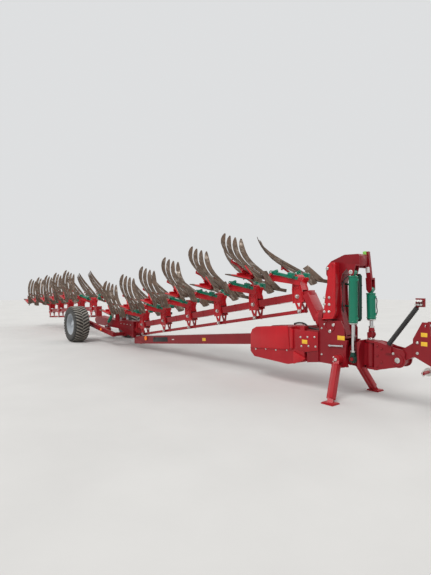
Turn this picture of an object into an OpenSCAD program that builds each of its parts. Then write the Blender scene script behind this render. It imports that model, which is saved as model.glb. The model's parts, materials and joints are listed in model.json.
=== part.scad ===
// Semi-mounted reversible mouldboard plough, parked with both plough sections in the upright
// middle position. +X is the driving direction, +Y the left side, +Z up, the floor is z = 0.

/* [Plough sections] */
// Distance between neighbouring body pairs along the frames
body_spacing = 998; // [900:1:1200]
// Body pairs in front of the wheels
front_pairs = 6; // [5:1:6]
// Body pairs behind the wheels
rear_pairs = 5; // [4:1:5]
// Square section of the two plough frames
frame_side = 120; // [100:1:144]
// Height of the first front pivot pin
front_pin_z = 1390; // [1380:1:1500]
// Height of the last front pivot pin
front_tail_z = 607; // [600:1:640]
// Height of the first rear pivot pin
rear_pin_z = 870; // [860:1:1040]
// Height of the last rear pivot pin
rear_tail_z = 640; // [600:1:760]
// Angle of the bodies to their frame, the narrowest working width
set_angle = 18.6; // [16:0.1:22]
// Distance of the adjusting rod below the pivot pins
rod_drop = 235; // [225:1:250]

/* [Plough bodies] */
// Share point from the middle plane of the plough
reach = 830; // [780:1:980]
// Radius of the mouldboard's curve
board_r = 430; // [400:1:500]
// Thickness of a mouldboard slat
slat_t = 10; // [8:0.5:14]
// Number of slats on a mouldboard
slats = 4; // [3:1:5]
// Share of the mouldboard's height that its slats fill
slat_fill = 0.8; // [0.6:0.05:0.9]
// Length of the share along its edge
share_l = 450; // [400:10:480]
// Length of the landside bar
landside_l = 740; // [620:1:890]

/* [Main beam and tower] */
// Width of the low main beam
main_w = 180; // [150:1:190]
// Depth of the low main beam
main_h = 185; // [160:1:200]
// Height of the turnover bearing at the tower
turn_z = 1060; // [1050:1:1080]
// Height of the turnover bearing at the carriage
turn_tail_z = 450; // [440:1:460]
// Width of the tower over its cheeks
tower_w = 340; // [320:1:400]
// Thickness of the heavy plates
plate_t = 20; // [15:1:24]

/* [Wheels] */
// Tyre diameter
tyre_d = 1000; // [900:1:1100]
// Tyre width
tyre_w = 420; // [350:1:500]
// Middle of each tyre from the middle plane
track_half = 830; // [800:1:960]
// Axle behind the front edge of the carriage
axle_back = 2100; // [2000:1:2500]

/* [Hitch and legs] */
// Radius of the hitch pins at the ends of the cross shaft
hitch_pin_r = 18.3; // [14:0.1:25]
// Distance between the shoulders of the cross shaft
hitch_span = 965; // [825:1:1165]
// Foot of each parking leg from the middle plane
foot_y = 560; // [540:1:700]

/* [Hidden] */
$fn = 48;

// Running clearance of a pin in its bore, and of two faces that lie on each other
fit = 0.05;
seat = 0.3;
// Clearance where a closed linkage is opened
open_fit = 5;

// Frames
pin_r = 20;
front_pin_x = -900;
front_span = (front_pairs - 1) * body_spacing;
front_slope = asin((front_pin_z - front_tail_z) / front_span);
last_front_x = front_pin_x - front_span * cos(front_slope);
carriage_x = last_front_x - 320;
wheel_x = carriage_x - axle_back;
rear_pin_x = wheel_x - 800;
rear_span = (rear_pairs - 1) * body_spacing;
rear_slope = asin((rear_pin_z - rear_tail_z) / rear_span);
// The frame of the whole part is centred between the hitch and the last mouldboard's tip
front_end = 1300;
last_tip = 1285.8;
origin_x = (last_tip - front_end - rear_pin_x + rear_span * cos(rear_slope)) / 2;

// Turnover axes
turn_x = -450;
turn_slope = atan((turn_z - turn_tail_z) / (turn_x - carriage_x));
rear_turn_x = wheel_x - 350;
rear_turn_z = 560;

// Bodies, measured from a pair's pivot pin
point_x = -137;
point_t = 210;
gamma = 30;
delta = 6;
tau = 45;
share_deg = 15;
share_start = 40;
point_w = 60;
// Lower and upper edge of the mouldboard, from the shin to the wing
low_edge = [[-160, 97, 5], [-420, 97, 180], [-1450, 200, 330], [-1430, 400, 668]];
high_edge = [[-230, 430, 10], [-220, 470, 160], [-860, 500, 130], [-1090, 615, 586]];
board_bow = 50;
board_turn = 35;
stations = [0, 0.1, 0.2, 0.3, 0.4, 0.5, 0.6, 0.7, 0.8, 0.88, 0.94, 0.98, 1];
wing_round = 0.14;
frog_hub = [-540, 235, 30];
frog_stations = [0.3, 0.5];
stud_l = 45;
stud_gap = 0.8;
head_h = 315;
leg_knee = [point_x - 380, -reach + 480, point_t + 26];
leg_foot = [point_x - 450, -reach + 205, point_t + 26];
// Skimmer, measured from the share's point
skim_at = [-40, 215, -18];
skim_r = 150;
skim_l = 290;
skim_t = 8;
skim_turn = 50;

// Tower and hitch
tower_back = -425;
tower_front = -7;
lift_pin = [-137, 0, 535];
arch_y = 95;
near_top = [120, -150, 1738];
near_eye = [120, -150, 555];
far_top = [205, 150, 1500];
far_eye = [220, 150, 880];
steer_x = 300;
pitch_pin = [715, 0, 612];
cross_shaft = [1250, 0, 600];
top_link = [1050, 0, 1065];
leg_pin = [-85, tower_w / 2 + 48, 530];
foot_x = 40;

// Ram that props the front frame
prop_foot = [-580, 0, 1050];
prop_top = [-735, 0, front_pin_z - frame_side / 2 - 20];

// Carriage
arm_pin = [carriage_x - 600, 0, 300];
arm_y = 430;
axle_z = tyre_d / 2;
ram_y = 205;
ram_top = [carriage_x - 1050, 0, 850];
ram_eye = [carriage_x - 1500, 0, 430];

pairs = front_pairs + rear_pairs;

// A point on the line of pivot pins: section 0 is the front one, 1 the rear one
function pin_at(section, i) =
    section == 0
        ? [front_pin_x - i * body_spacing * cos(front_slope), 0,
           front_pin_z - i * body_spacing * sin(front_slope)]
        : [rear_pin_x - i * body_spacing * cos(rear_slope), 0,
           rear_pin_z - i * body_spacing * sin(rear_slope)];
function slope_of(section) = section == 0 ? front_slope : rear_slope;
// Top line of the main beam and the height of the turnover axis at x
main_slope = (716 - 281) / (-1970 - carriage_x);
function main_top(x) = 716 + (x + 1970) * main_slope;

module place() {
    translate([origin_x, 0, 0]) children();
}
// A bar of w by h from p to q
module strut(p, q, w, h, roll = 0) {
    d = q - p;
    l = norm(d);
    translate(p)
        rotate([0, acos(d.z / l), atan2(d.y, d.x)])
            rotate([0, 0, roll])
                translate([-w / 2, -h / 2, 0]) cube([w, h, l]);
}
// A round bar across the plough from y0 to y1
module cross_bar(x, z, y0, y1, r) {
    translate([x, y1, z]) rotate([90, 0, 0]) cylinder(r = r, h = y1 - y0);
}
// A plate in the side plane, from y0 to y1
module side_plate(y0, y1) {
    translate([0, y1, 0]) rotate([90, 0, 0]) linear_extrude(y1 - y0) children();
}
module both_sides() {
    children();
    mirror([0, 1, 0]) children();
}
// The tilted frame of a turnover axis, with its origin on the axis
module on_axis(x, z, slope) {
    translate([x, 0, z]) rotate([0, -slope, 0]) children();
}
module axis_disc(x0, x1, r) {
    translate([x0, 0, 0]) rotate([0, 90, 0]) cylinder(r = r, h = x1 - x0);
}

// Low beam from the tower to the wheel carriage
module main_beam() {
    color("firebrick")
        place() side_plate(-main_w / 2, main_w / 2)
            polygon([[-630, main_top(-630)], [carriage_x - 45, main_top(carriage_x - 45)],
                     [carriage_x - 45, main_top(carriage_x - 45) - main_h],
                     [-630, main_top(-630) - main_h]]);
}

housing_w = 390;
lug_relief_y = 104;
module housing_outline() {
    polygon([[-675, 948], [-1480, 880], [-1690, 855], [-1790, 805], [-1835, 725],
             [-1835, 440], [-1740, 360], [-1000, 330], [-675, 410]]);
}
module service_housing() {
    color("red")
        place() difference() {
            side_plate(-housing_w / 2, housing_w / 2) housing_outline();
            side_plate(-main_w / 2 - seat, main_w / 2 + seat)
                polygon([[-600, main_top(-600) + seat], [-1900, main_top(-1900) + seat],
                         [-1900, main_top(-1900) - main_h - seat],
                         [-600, main_top(-600) - main_h - seat]]);
            // Reliefs for the first bracket's lug when the front section is turned to a side
            both_sides() side_plate(lug_relief_y, housing_w)
                polygon([[-735, 1000], [-760, 885], [-930, 885], [-955, 1000]]);
        }
}

module beam_flange() {
    color("firebrick")
        place() side_plate(-190, 190)
            polygon([[tower_back - seat, 900], [-630 + seat, 900], [-630 + seat, 410],
                     [tower_back - seat, 440]]);
}

module goose_outline() {
    polygon([[-400, 840], [-340, 1130], [-300, 1300], [-300, 1620], [-357, 1720], [-357, 1829],
             [-270, 1910], [-56, 1990], [162, 1990], [180, 1965], [180, 1825], [150, 1796],
             [60, 1815], [-20, 1790], [-90, 1720], [-120, 1600], [-105, 1200], [-20, 840]]);
}
// Core between the two plates of the arch, set back from their edge
module goose_core() {
    polygon([[-380, 860], [-322, 1130], [-282, 1300], [-282, 1630], [-338, 1728], [-338, 1820],
             [-262, 1893], [-52, 1972], [150, 1972], [162, 1955], [162, 1835], [145, 1816],
             [60, 1833], [-28, 1808], [-107, 1728], [-138, 1600], [-123, 1200], [-40, 860]]);
}
module tower() {
    cheek = tower_w / 2;
    color("crimson")
        place() difference() {
            union() {
                both_sides() side_plate(cheek - plate_t, cheek)
                    polygon([[tower_back, 440], [tower_back, 1045], [-60, 1066],
                             [tower_front, 960], [tower_front, 420], [-120, 400],
                             [-220, 440]]);
                both_sides() side_plate(cheek - 40, cheek)
                    polygon([[tower_front - 4, 430], [tower_front - 4, 800], [40, 800],
                             [20, 700], [18, 560], [40, 430]]);
                side_plate(-cheek + plate_t - 1, cheek - plate_t + 1) {
                    polygon([[tower_back, 440], [tower_back, 1045], [tower_back + 25, 1045],
                             [tower_back + 25, 440]]);
                    polygon([[tower_back, 820], [tower_front, 820], [tower_front, 845],
                             [tower_back, 845]]);
                    polygon([[tower_back, 1020], [-100, 1020], [-100, 1045],
                             [tower_back, 1045]]);
                }
                both_sides() side_plate(arch_y - plate_t, arch_y) goose_outline();
                side_plate(-arch_y + plate_t - 1, arch_y - plate_t + 1) goose_core();
                on_axis(turn_x, turn_z, turn_slope) axis_disc(-10, 60, 150);
                near_ram_lugs();
                far_ram_bar();
                both_sides() cross_bar(leg_pin.x, leg_pin.z, cheek - 1, leg_pin.y + 45, 30);
            }
            on_axis(turn_x, turn_z, turn_slope) axis_disc(-20, 120, 60 + fit);
            cross_bar(lift_pin.x, lift_pin.z, -tower_w, tower_w, 35 + fit);
        }
}
// Two lugs under the arch and the pin that carries the near lift ram
module near_ram_lugs() {
    for (y = [-206, -110]) side_plate(y, y + 16)
        polygon([[50, 1845], [190, 1845], [150, 1695], [90, 1695]]);
    side_plate(-206, -arch_y + 1) polygon([[50, 1825], [190, 1825], [190, 1845], [50, 1845]]);
    cross_bar(near_top.x, near_top.z, -206, -94, 25);
}
// Bar from the end of the arch down to the pin of the short far ram
module far_ram_bar() {
    side_plate(arch_y - 1, 176) polygon([[60, 1880], [176, 1880], [176, 1975], [60, 1975]]);
    strut([146, 150, 2030], [190, 150, 1640], 66, 50);
    side_plate(100, 200) polygon([[155, 1640], [240, 1640], [240, 1665], [155, 1665]]);
    for (y = [100, 188]) side_plate(y, y + 12)
        polygon([[155, 1665], [240, 1665], [245, 1500], [205, 1455], [165, 1500]]);
    cross_bar(far_top.x, far_top.z, 101, 200, 22);
}
module turnover_guard() {
    color("tomato")
        place() side_plate(-190, -arch_y - seat)
            polygon([[-345, 1085], [-305, 1420], [-270, 1600], [-266, 1840], [-225, 1885],
                     [-135, 1885], [-135, 1500], [-150, 1150], [-180, 1085]]);
}

module carriage() {
    half = 130;
    color("firebrick")
        place() difference() {
            union() {
                side_plate(-half, half)
                    polygon([[carriage_x - 45, 240], [carriage_x - 45, 660],
                             [carriage_x - 160, 665], [carriage_x - 900, 620],
                             [rear_turn_x + 60, 680], [rear_turn_x + 60, 440],
                             [carriage_x - 900, 420]]);
                both_sides() side_plate(main_w / 2, main_w / 2 + 12)
                    polygon([[carriage_x + 500, main_top(carriage_x + 500) - 160],
                             [carriage_x - 46, main_top(carriage_x) - 20],
                             [carriage_x - 46, 110], [carriage_x + 300, 120]]);
                on_axis(carriage_x, turn_tail_z, turn_slope) axis_disc(-60, -10, 110);
                on_axis(rear_turn_x, rear_turn_z, rear_slope) axis_disc(5, 70, 130);
                both_sides() side_plate(60, half)
                    polygon([[arm_pin.x - 70, 480], [arm_pin.x - 70, 240],
                             [arm_pin.x + 70, 240], [arm_pin.x + 200, 420]]);
                both_sides() side_plate(70, half)
                    polygon([[ram_top.x - 60, 600], [ram_top.x - 40, 900],
                             [ram_top.x + 40, 900], [ram_top.x + 110, 600]]);
                cross_bar(ram_top.x, ram_top.z, -260, 260, 22);
            }
            on_axis(carriage_x, turn_tail_z, turn_slope) axis_disc(-220, 10, 50 + fit);
            on_axis(rear_turn_x, rear_turn_z, rear_slope) axis_disc(-10, 220, 60 + fit);
            cross_bar(arm_pin.x, arm_pin.z, -200, 200, 50 + fit);
        }
}

// A frame tube with a bore for each pivot pin, in the tilted frame of its section
module frame_tube(section, count, lead, tail) {
    half = frame_side / 2;
    p = pin_at(section, 0);
    translate(p) rotate([0, -slope_of(section), 0]) difference() {
        translate([-(count - 1) * body_spacing - tail, -half, -half])
            cube([(count - 1) * body_spacing + tail + lead, frame_side, frame_side]);
        for (i = [0:count - 1]) cross_bar(-i * body_spacing, 0, -half - 1, half + 1, pin_r + fit);
    }
}

module front_frame() {
    color("red")
        place() {
            frame_tube(0, front_pairs, 230, 285);
            on_axis(turn_x, turn_z, turn_slope) {
                axis_disc(-70, -15, 140);
                axis_disc(-20, 70, 60);
            }
            both_sides() strut([-530, -82, turn_z], [-735, -82, front_pin_z + 40], 100, 50);
            on_axis(carriage_x, turn_tail_z, turn_slope) {
                axis_disc(-5, 50, 100);
                axis_disc(-150, 0, 50);
            }
            side_plate(-85, 85)
                polygon([[carriage_x + 20, 370], [carriage_x + 50, 370],
                         [carriage_x + 50, 640], [carriage_x + 20, 640]]);
            both_sides() side_plate(34, 50) {
                polygon([[-490, 1000], [-490, 1110], [prop_foot.x - 32, 1080],
                         [prop_foot.x - 32, 1020]]);
                polygon([[-680, front_pin_z - 15], [-790, front_pin_z - 25],
                         [prop_top.x - 32, prop_top.z - 25], [prop_top.x + 32, prop_top.z - 25]]);
            }
            for (p = [prop_foot, prop_top]) cross_bar(p.x, p.z, -49, 49, 18);
        }
}

// The parallel rod: two flats with a spacer between each two body pairs
module adjusting_rod(section, count) {
    p = pin_at(section, 0);
    translate(p) rotate([0, -slope_of(section), 0]) translate([0, 0, -rod_drop])
        difference() {
            union() {
                both_sides() translate([-(count - 1) * body_spacing - 60, 16, -28])
                    cube([(count - 1) * body_spacing + 120, 16, 56]);
                for (i = [0:count - 2]) translate([-(i + 0.5) * body_spacing - 60, -17, -20])
                    cube([120, 34, 40]);
            }
            cross_bar(0, 0, -40, 40, 16 + fit);
            for (i = [1:count - 1]) cross_bar(-i * body_spacing, 0, -40, 40, 16.5);
        }
}
module front_rod() {
    color("red") place() adjusting_rod(0, front_pairs);
}
module rear_rod() {
    color("red") place() adjusting_rod(1, rear_pairs);
}

module rear_frame() {
    color("red")
        place() {
            frame_tube(1, rear_pairs, 400, 150);
            on_axis(rear_turn_x, rear_turn_z, rear_slope) {
                axis_disc(-50, 0, 120);
                axis_disc(-5, 140, 60);
            }
            side_plate(-90, 90)
                polygon([[rear_turn_x - 45, 500], [rear_turn_x - 5, 500],
                         [rear_turn_x - 30, 960], [rear_turn_x - 100, 960]]);
        }
}

// Ram that props the front end of the front frame on its turning head
module levelling_ram() {
    l = norm(prop_top - prop_foot);
    tilt = atan2(prop_top.x - prop_foot.x, prop_top.z - prop_foot.z);
    color("darkgreen")
        place() difference() {
            union() {
                translate(prop_foot) rotate([0, tilt, 0]) {
                    cylinder(r = 20, h = l);
                    translate([0, 0, 45]) cylinder(r = 38, h = l - 130);
                }
                for (p = [prop_foot, prop_top]) cross_bar(p.x, p.z, -32, 32, 36);
            }
            for (p = [prop_foot, prop_top]) cross_bar(p.x, p.z, -40, 40, 18 + seat);
        }
}

// The tilted cylinder that the mouldboard is cut from, in a body's own axes: x forwards,
// y towards the frame, z to the side that the soil is thrown
module board_axes() {
    rotate([0, -(90 - gamma), 0])
        rotate([-delta, 0, 0])
            translate([board_r * sin(tau), board_r * cos(tau), 0]) children();
}
// A piece of its wall, from angle a0 to a1 and from s0 to s1 along it
module board_sector(a0, a1, s0, s1, t, r = board_r) {
    board_axes()
        rotate([0, 0, a0])
            rotate_extrude(angle = a1 - a0, $fn = 96) translate([r, s0]) square([t, s1 - s0]);
}
function unit(v) = v / norm(v);
function bezier(c, u) =
    (1 - u) ^ 3 * c[0] + 3 * u * (1 - u) ^ 2 * c[1] + 3 * u ^ 2 * (1 - u) * c[2] + u ^ 3 * c[3];
// The worked face: u runs from the shin to the wing, v from the lower to the upper edge
function board_point(u, v) =
    let (lo = bezier(low_edge, u), hi = bezier(high_edge, u), bow = board_bow * sin(150 * u))
    lo + (hi - lo) * v - 4 * bow * v * (1 - v) * [sin(board_turn), 0, cos(board_turn)];
// Unit vector from the worked face to the back of the board
function board_back(u, v, e = 0.01) =
    let (a = max(0, u - e), b = min(1, u + e))
    unit(cross(board_point(b, v) - board_point(a, v),
               board_point(u, v + e) - board_point(u, v - e)));
function slat_middle(k) = (k + 0.5) / slats;
// Half the width of a slat, which narrows to a round tip at the wing
function slat_half(u) =
    0.5 * slat_fill / slats * sqrt(1 - min(0.97, max(0, (u - 1 + wing_round) / wing_round)) ^ 2);

// One twisted slat, a ring of four corners at each station
module slat(k) {
    rings = [for (u = stations) let (v0 = slat_middle(k) - slat_half(u), v1 = slat_middle(k) + slat_half(u))
             each [board_point(u, v0), board_point(u, v1),
                   board_point(u, v1) + slat_t * board_back(u, v1),
                   board_point(u, v0) + slat_t * board_back(u, v0)]];
    last = 4 * (len(stations) - 1);
    polyhedron(rings, concat(
        [[0, 1, 2], [0, 2, 3], [last + 2, last + 1, last], [last + 3, last + 2, last]],
        [for (j = [0:4:last - 4], c = [0:3]) [j + c, j + 4 + c, j + 4 + (c + 1) % 4]],
        [for (j = [0:4:last - 4], c = [0:3])
         [j + c, j + 4 + (c + 1) % 4, j + (c + 1) % 4]]));
}

// Back of a slat at station u, halfway between its edges
function slat_back(u, k) =
    let (v0 = slat_middle(k) - slat_half(u), v1 = slat_middle(k) + slat_half(u))
    (board_point(u, v0) + board_point(u, v1)) / 2
    + slat_t / 2 * (board_back(u, v0) + board_back(u, v1));
function stud_end(u, k) = slat_back(u, k) + stud_l * board_back(u, slat_middle(k));
function turn_y(v, a) = [v.x * cos(a) + v.z * sin(a), v.y, v.z * cos(a) - v.x * sin(a)];
function turn_x(v, a) = [v.x, v.y * cos(a) - v.z * sin(a), v.y * sin(a) + v.z * cos(a)];
// A point of the skimmer's cylinder in the body's axes
function skim_point(r, a, z) =
    skim_at + turn_y(turn_x([skim_r * sin(tau) + r * cos(a), skim_r * cos(tau) + r * sin(a), z],
                            -delta), -skim_turn);
module skim_axes() {
    translate(skim_at) rotate([0, -skim_turn, 0]) rotate([-delta, 0, 0])
        translate([skim_r * sin(tau), skim_r * cos(tau), 0]) children();
}

// Share, its point, the slats, the landside and the skimmer of one body
module body_steel() {
    difference() {
        board_sector(225 - share_deg, 225, share_start, share_start + share_l, slat_t + 4,
                     board_r - 4);
        translate([-400, -50, -300]) cube([600, 400, 300]);
    }
    translate([0, 0, -point_w / 4]) linear_extrude(point_w)
        polygon([[-150, 74], [-150, 42], [48, -12], [62, -8], [40, 14]]);
    for (k = [0:slats - 1]) slat(k);
    translate([-landside_l - 60, 15, -16 - seat]) cube([landside_l - 100, 100, 16]);
    skim_axes() rotate([0, 0, 155])
        rotate_extrude(angle = 70, $fn = 64) translate([skim_r, 0]) square([skim_t, skim_l]);
}

// Frog: side plate, share seat, and ribs that carry the slats on studs
module body_frog() {
    difference() {
        union() {
            linear_extrude(16)
                polygon([[-200, 12], [-212, 90], [-265, 200], [-300, 330], [-400, 330],
                         [-500, 250], [-640, 80], [-640, 12]]);
            board_sector(225 - share_deg, 223, share_start + 160, share_start + share_l - 60, 22,
                         board_r + slat_t + seat);
            strut([-360, 190, 15], frog_hub, 60, 40);
            strut([-580, 80, 15], frog_hub, 60, 40);
        }
        board_sector(215 - share_deg, 240, -200, 700, 60, board_r + slat_t + seat - 60);
        translate([-900, -200, -300]) cube([1200, 700, 300]);
    }
    for (u = frog_stations, k = [0:slats - 1])
        strut(slat_back(u, k) + stud_gap * board_back(u, slat_middle(k)), stud_end(u, k), 20, 20);
    for (u = frog_stations, k = [0:slats - 2]) strut(stud_end(u, k), stud_end(u, k + 1), 40, 22);
    for (k = [0, slats - 1]) strut(frog_hub, stud_end(frog_stations[0], k), 40, 30);
    strut(frog_hub, stud_end(frog_stations[1], 1), 34, 34);
}

// A bracket with its two pins and the stalks of one body pair
module pair_stalks(section, i) {
    half = frame_side / 2 + 5;
    color("red")
        translate(pin_at(section, i)) rotate([0, -slope_of(section), 0]) {
            both_sides() side_plate(half, half + 18) {
                polygon([[-115, -95], [-98, 120], [-50, head_h], [50, head_h], [98, 120],
                         [115, -95]]);
                difference() {
                    union() {
                        polygon([[-70, -90], [70, -90], [26, -rod_drop], [-26, -rod_drop]]);
                        translate([0, -rod_drop]) circle(r = 30);
                    }
                    polygon([[-36, -105], [36, -105], [0, -185]]);
                }
            }
            side_plate(-half - 1, half + 1)
                polygon([[-96, 90], [-80, 90], [-36, head_h - 14], [36, head_h - 14], [80, 90],
                         [96, 90], [46, head_h - 4], [-46, head_h - 4]]);
            side_plate(-half - 1, half + 1) polygon([[-75, 84], [75, 84], [75, 106], [-75, 106]]);
            side_plate(-half - 1, half + 1) polygon([[-60, -95], [60, -95], [60, -80], [-60, -80]]);
            cross_bar(0, 0, -half - 40, half + 40, pin_r);
            cross_bar(0, -rod_drop, -half - 35, half + 35, 16);
            rotate([0, set_angle, 0]) both_sides() {
                strut([10, -half - 4, head_h - 85], leg_knee, 100, 46);
                strut(leg_knee, leg_foot, 46, 92);
                translate([point_x, -reach, point_t]) body_frog();
            }
        }
    color("seagreen")
        translate(pin_at(section, i)) rotate([0, -slope_of(section) + set_angle, 0])
            both_sides() skimmer_holder();
}
// Arm of the skimmer: a foot on the bracket's head, an adjusting clamp, a stem and a pad
module skimmer_holder() {
    body = [point_x, -reach, point_t];
    elbow = body + [-240, 520, 110];
    strut([30, -frame_side / 2 - 12, head_h - 40], elbow, 44, 36);
    translate([-95, -190, head_h + 2]) cube([90, 70, 84], center = true);
    translate(elbow) rotate([90, 0, 0]) cylinder(r = 26, h = 80, center = true);
    strut(elbow, body + skim_point(skim_r + skim_t + 24, 172, skim_l / 2), 30, 30);
    translate(body) skim_axes() rotate([0, 0, 163])
        rotate_extrude(angle = 28, $fn = 64)
            translate([skim_r + skim_t + seat, skim_l / 2 - 60]) square([20, 120]);
}
module pair_steel(section, i) {
    color("sienna")
        translate(pin_at(section, i)) rotate([0, -slope_of(section) + set_angle, 0])
            both_sides() translate([point_x, -reach, point_t]) body_steel();
}

// Block between the tower and the drawbar, raised and lowered by the two lift rams
module lift_knuckle() {
    inner = tower_w / 2 - plate_t - 2;
    color("firebrick")
        place() {
            cross_bar(lift_pin.x, lift_pin.z, -inner, inner, 75);
            cross_bar(lift_pin.x, lift_pin.z, -tower_w / 2 - 2, tower_w / 2 + 2, 35);
            side_plate(-60, 60)
                polygon([[-137, 460], [210, 440], [210, 790], [60, 760], [-100, 610]]);
            side_plate(-140, 140)
                polygon([[200, 440], [225, 440], [225, 820], [200, 820]]);
            both_sides() side_plate(139, 182)
                polygon([[200, 440], [250, 440], [222, 560], [222, 700], [250, 800],
                         [200, 800]]);
            cross_bar(near_eye.x, near_eye.z, -190, -50, 25);
            side_plate(80, 100)
                polygon([[200, 700], [260, 700], [260, 910], [190, 910]]);
            cross_bar(far_eye.x, far_eye.z, 81, 190, 20);
            difference() {
                union() {
                    side_plate(-50, 50)
                        polygon([[220, 480], [steer_x, 480], [steer_x, 780], [220, 780]]);
                    translate([steer_x, 0, 472]) cylinder(r = 62, h = 316);
                }
                translate([steer_x, 0, 400]) cylinder(r = 30 + fit, h = 500);
            }
        }
}

// A ram barrel along its own axis, from the eye at top down to the gland, and its rod
module ram_barrel(top, eye, r, rod_r, shoulder, gland, pin) {
    l = norm(eye - top);
    d = (eye - top) / l;
    difference() {
        union() {
            translate(top) rotate([0, acos(d.z), atan2(d.y, d.x)])
                translate([0, 0, shoulder]) cylinder(r = r, h = gland - shoulder);
            translate(top) rotate([0, acos(d.z), atan2(d.y, d.x)])
                cylinder(r = r * 0.55, h = shoulder + 5);
            cross_bar(top.x, top.z, top.y - r * 0.6, top.y + r * 0.6, pin + 18);
        }
        cross_bar(top.x, top.z, top.y - r, top.y + r, pin + fit);
        translate(top) rotate([0, acos(d.z), atan2(d.y, d.x)])
            translate([0, 0, shoulder + 30]) cylinder(r = rod_r + fit, h = l);
    }
}
module ram_rod(top, eye, rod_r, start, pin) {
    l = norm(eye - top);
    d = (eye - top) / l;
    difference() {
        union() {
            translate(top) rotate([0, acos(d.z), atan2(d.y, d.x)])
                translate([0, 0, start]) cylinder(r = rod_r, h = l - start);
            cross_bar(eye.x, eye.z, eye.y - 30, eye.y + 30, pin + open_fit + 16);
        }
        cross_bar(eye.x, eye.z, eye.y - 60, eye.y + 60, pin + open_fit);
    }
}
module near_barrel() {
    color("seagreen") place() ram_barrel(near_top, near_eye, 60, 24, 50, 692, 25);
}
module near_piston() {
    color("silver") place() ram_rod(near_top, near_eye, 24, 330, 25);
}
module far_barrel() {
    color("seagreen") place() ram_barrel(far_top, far_eye, 60, 26, 45, 409, 22);
}
module far_piston() {
    color("silver") place() ram_rod(far_top, far_eye, 26, 200, 22);
}

// Slanting arm beside the drawbar, with the plate that holds the hose couplings
module hose_arm() {
    near = -119;
    side_plate(near, -76) polygon([[560, 690], [640, 690], [640, 815], [580, 815]]);
    strut([600, near + 11, 790], [985, near + 11, 1310], 20, 20);
    side_plate(near, near + 22) polygon([[945, 1295], [1055, 1295], [1055, 1400], [945, 1400]]);
    for (x = [970, 1000, 1030], z = [1325, 1370]) cross_bar(x, z, near - 50, near + 1, 12);
}
module drawbar() {
    color("crimson")
        place() difference() {
            union() {
                for (z = [438, 792]) {
                    translate([steer_x, 0, z]) cylinder(r = 70, h = 30);
                    translate([steer_x, -70, z]) cube([120, 140, 30]);
                }
                translate([steer_x, 0, 430]) cylinder(r = 30, h = 400);
                both_sides() side_plate(75, 95) {
                    polygon([[395, 438], [395, 822], [480, 810], [620, 770], [780, 745],
                             [806, 700], [780, 560], [700, 520]]);
                    translate([pitch_pin.x, pitch_pin.z]) circle(r = 95);
                }
                side_plate(-76, 76)
                    polygon([[395, 438], [395, 822], [415, 822], [415, 438]]);
                side_plate(-76, 76)
                    polygon([[410, 800], [410, 820], [540, 780], [540, 760]]);
                side_plate(-76, 76)
                    polygon([[410, 440], [410, 460], [560, 500], [560, 480]]);
                hose_arm();
            }
            cross_bar(pitch_pin.x, pitch_pin.z, -100, 100, 30 + fit);
        }
}

module headstock() {
    color("crimson")
        place() difference() {
            union() {
                cross_bar(pitch_pin.x, pitch_pin.z, -100, 100, 30);
                side_plate(-70, 70) {
                    translate([pitch_pin.x, pitch_pin.z]) circle(r = 75);
                    polygon([[pitch_pin.x, 570], [pitch_pin.x - 20, 710], [940, 880], [940, 700]]);
                }
                both_sides() side_plate(69, 89)
                    polygon([[900, 690], [900, 900], [1010, 1110], [1090, 1110], [1110, 960],
                             [front_end, 640], [front_end - 10, 560], [1200, 550]]);
                side_plate(-70, 70) polygon([[900, 690], [900, 900], [925, 900], [925, 690]]);
                cross_bar(cross_shaft.x, cross_shaft.z, -hitch_span / 2, hitch_span / 2, 38);
                cross_bar(cross_shaft.x, cross_shaft.z, -hitch_span / 2 - 120, hitch_span / 2 + 120,
                          hitch_pin_r);
            }
            cross_bar(top_link.x, top_link.z, -100, 100, 16);
        }
}

module leg() {
    top = [leg_pin.x, leg_pin.y, leg_pin.z];
    color("red")
        difference() {
            union() {
                cross_bar(leg_pin.x, leg_pin.z, leg_pin.y - 42, leg_pin.y + 42, 60);
                strut(top, [foot_x, foot_y, -10], 76, 76);
                translate([foot_x - 90, foot_y - 80, 0]) cube([180, 160, 14]);
            }
            cross_bar(leg_pin.x, leg_pin.z, 150, 400, 30 + fit);
            translate([-500, 0, -200]) cube([1200, 1200, 200]);
        }
}
module left_leg() {
    place() leg();
}
module right_leg() {
    place() mirror([0, 1, 0]) leg();
}

// Trailing arms that carry the two wheels
module wheel_arms() {
    color("firebrick")
        place() {
            cross_bar(arm_pin.x, arm_pin.z, -arm_y, arm_y, 50);
            both_sides() side_plate(arm_y - 45, arm_y + 45)
                polygon([[arm_pin.x + 80, 250], [arm_pin.x + 80, 350],
                         [wheel_x - 80, axle_z + 60], [wheel_x - 80, axle_z - 60]]);
            both_sides() cross_bar(wheel_x, axle_z, arm_y, track_half + 60, 45);
            both_sides() cross_bar(ram_eye.x + 120, ram_eye.z - 60, 140, arm_y, 45);
            both_sides() side_plate(140, 160)
                polygon([[ram_eye.x + 150, 340], [ram_eye.x + 130, 420],
                         [ram_eye.x + 20, 460], [ram_eye.x - 30, 440],
                         [ram_eye.x - 20, 390], [ram_eye.x + 90, 330]]);
            both_sides() cross_bar(ram_eye.x, ram_eye.z, 141, 250, 20);
        }
}
module wheel_ram_barrels() {
    color("seagreen")
        place() for (y = [-ram_y, ram_y])
            ram_barrel(ram_top + [0, y, 0], ram_eye + [0, y, 0], 45, 25, 60, 400, 22);
}
module wheel_ram_rods() {
    color("silver")
        place() for (y = [-ram_y, ram_y])
            ram_rod(ram_top + [0, y, 0], ram_eye + [0, y, 0], 25, 290, 20);
}

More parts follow.
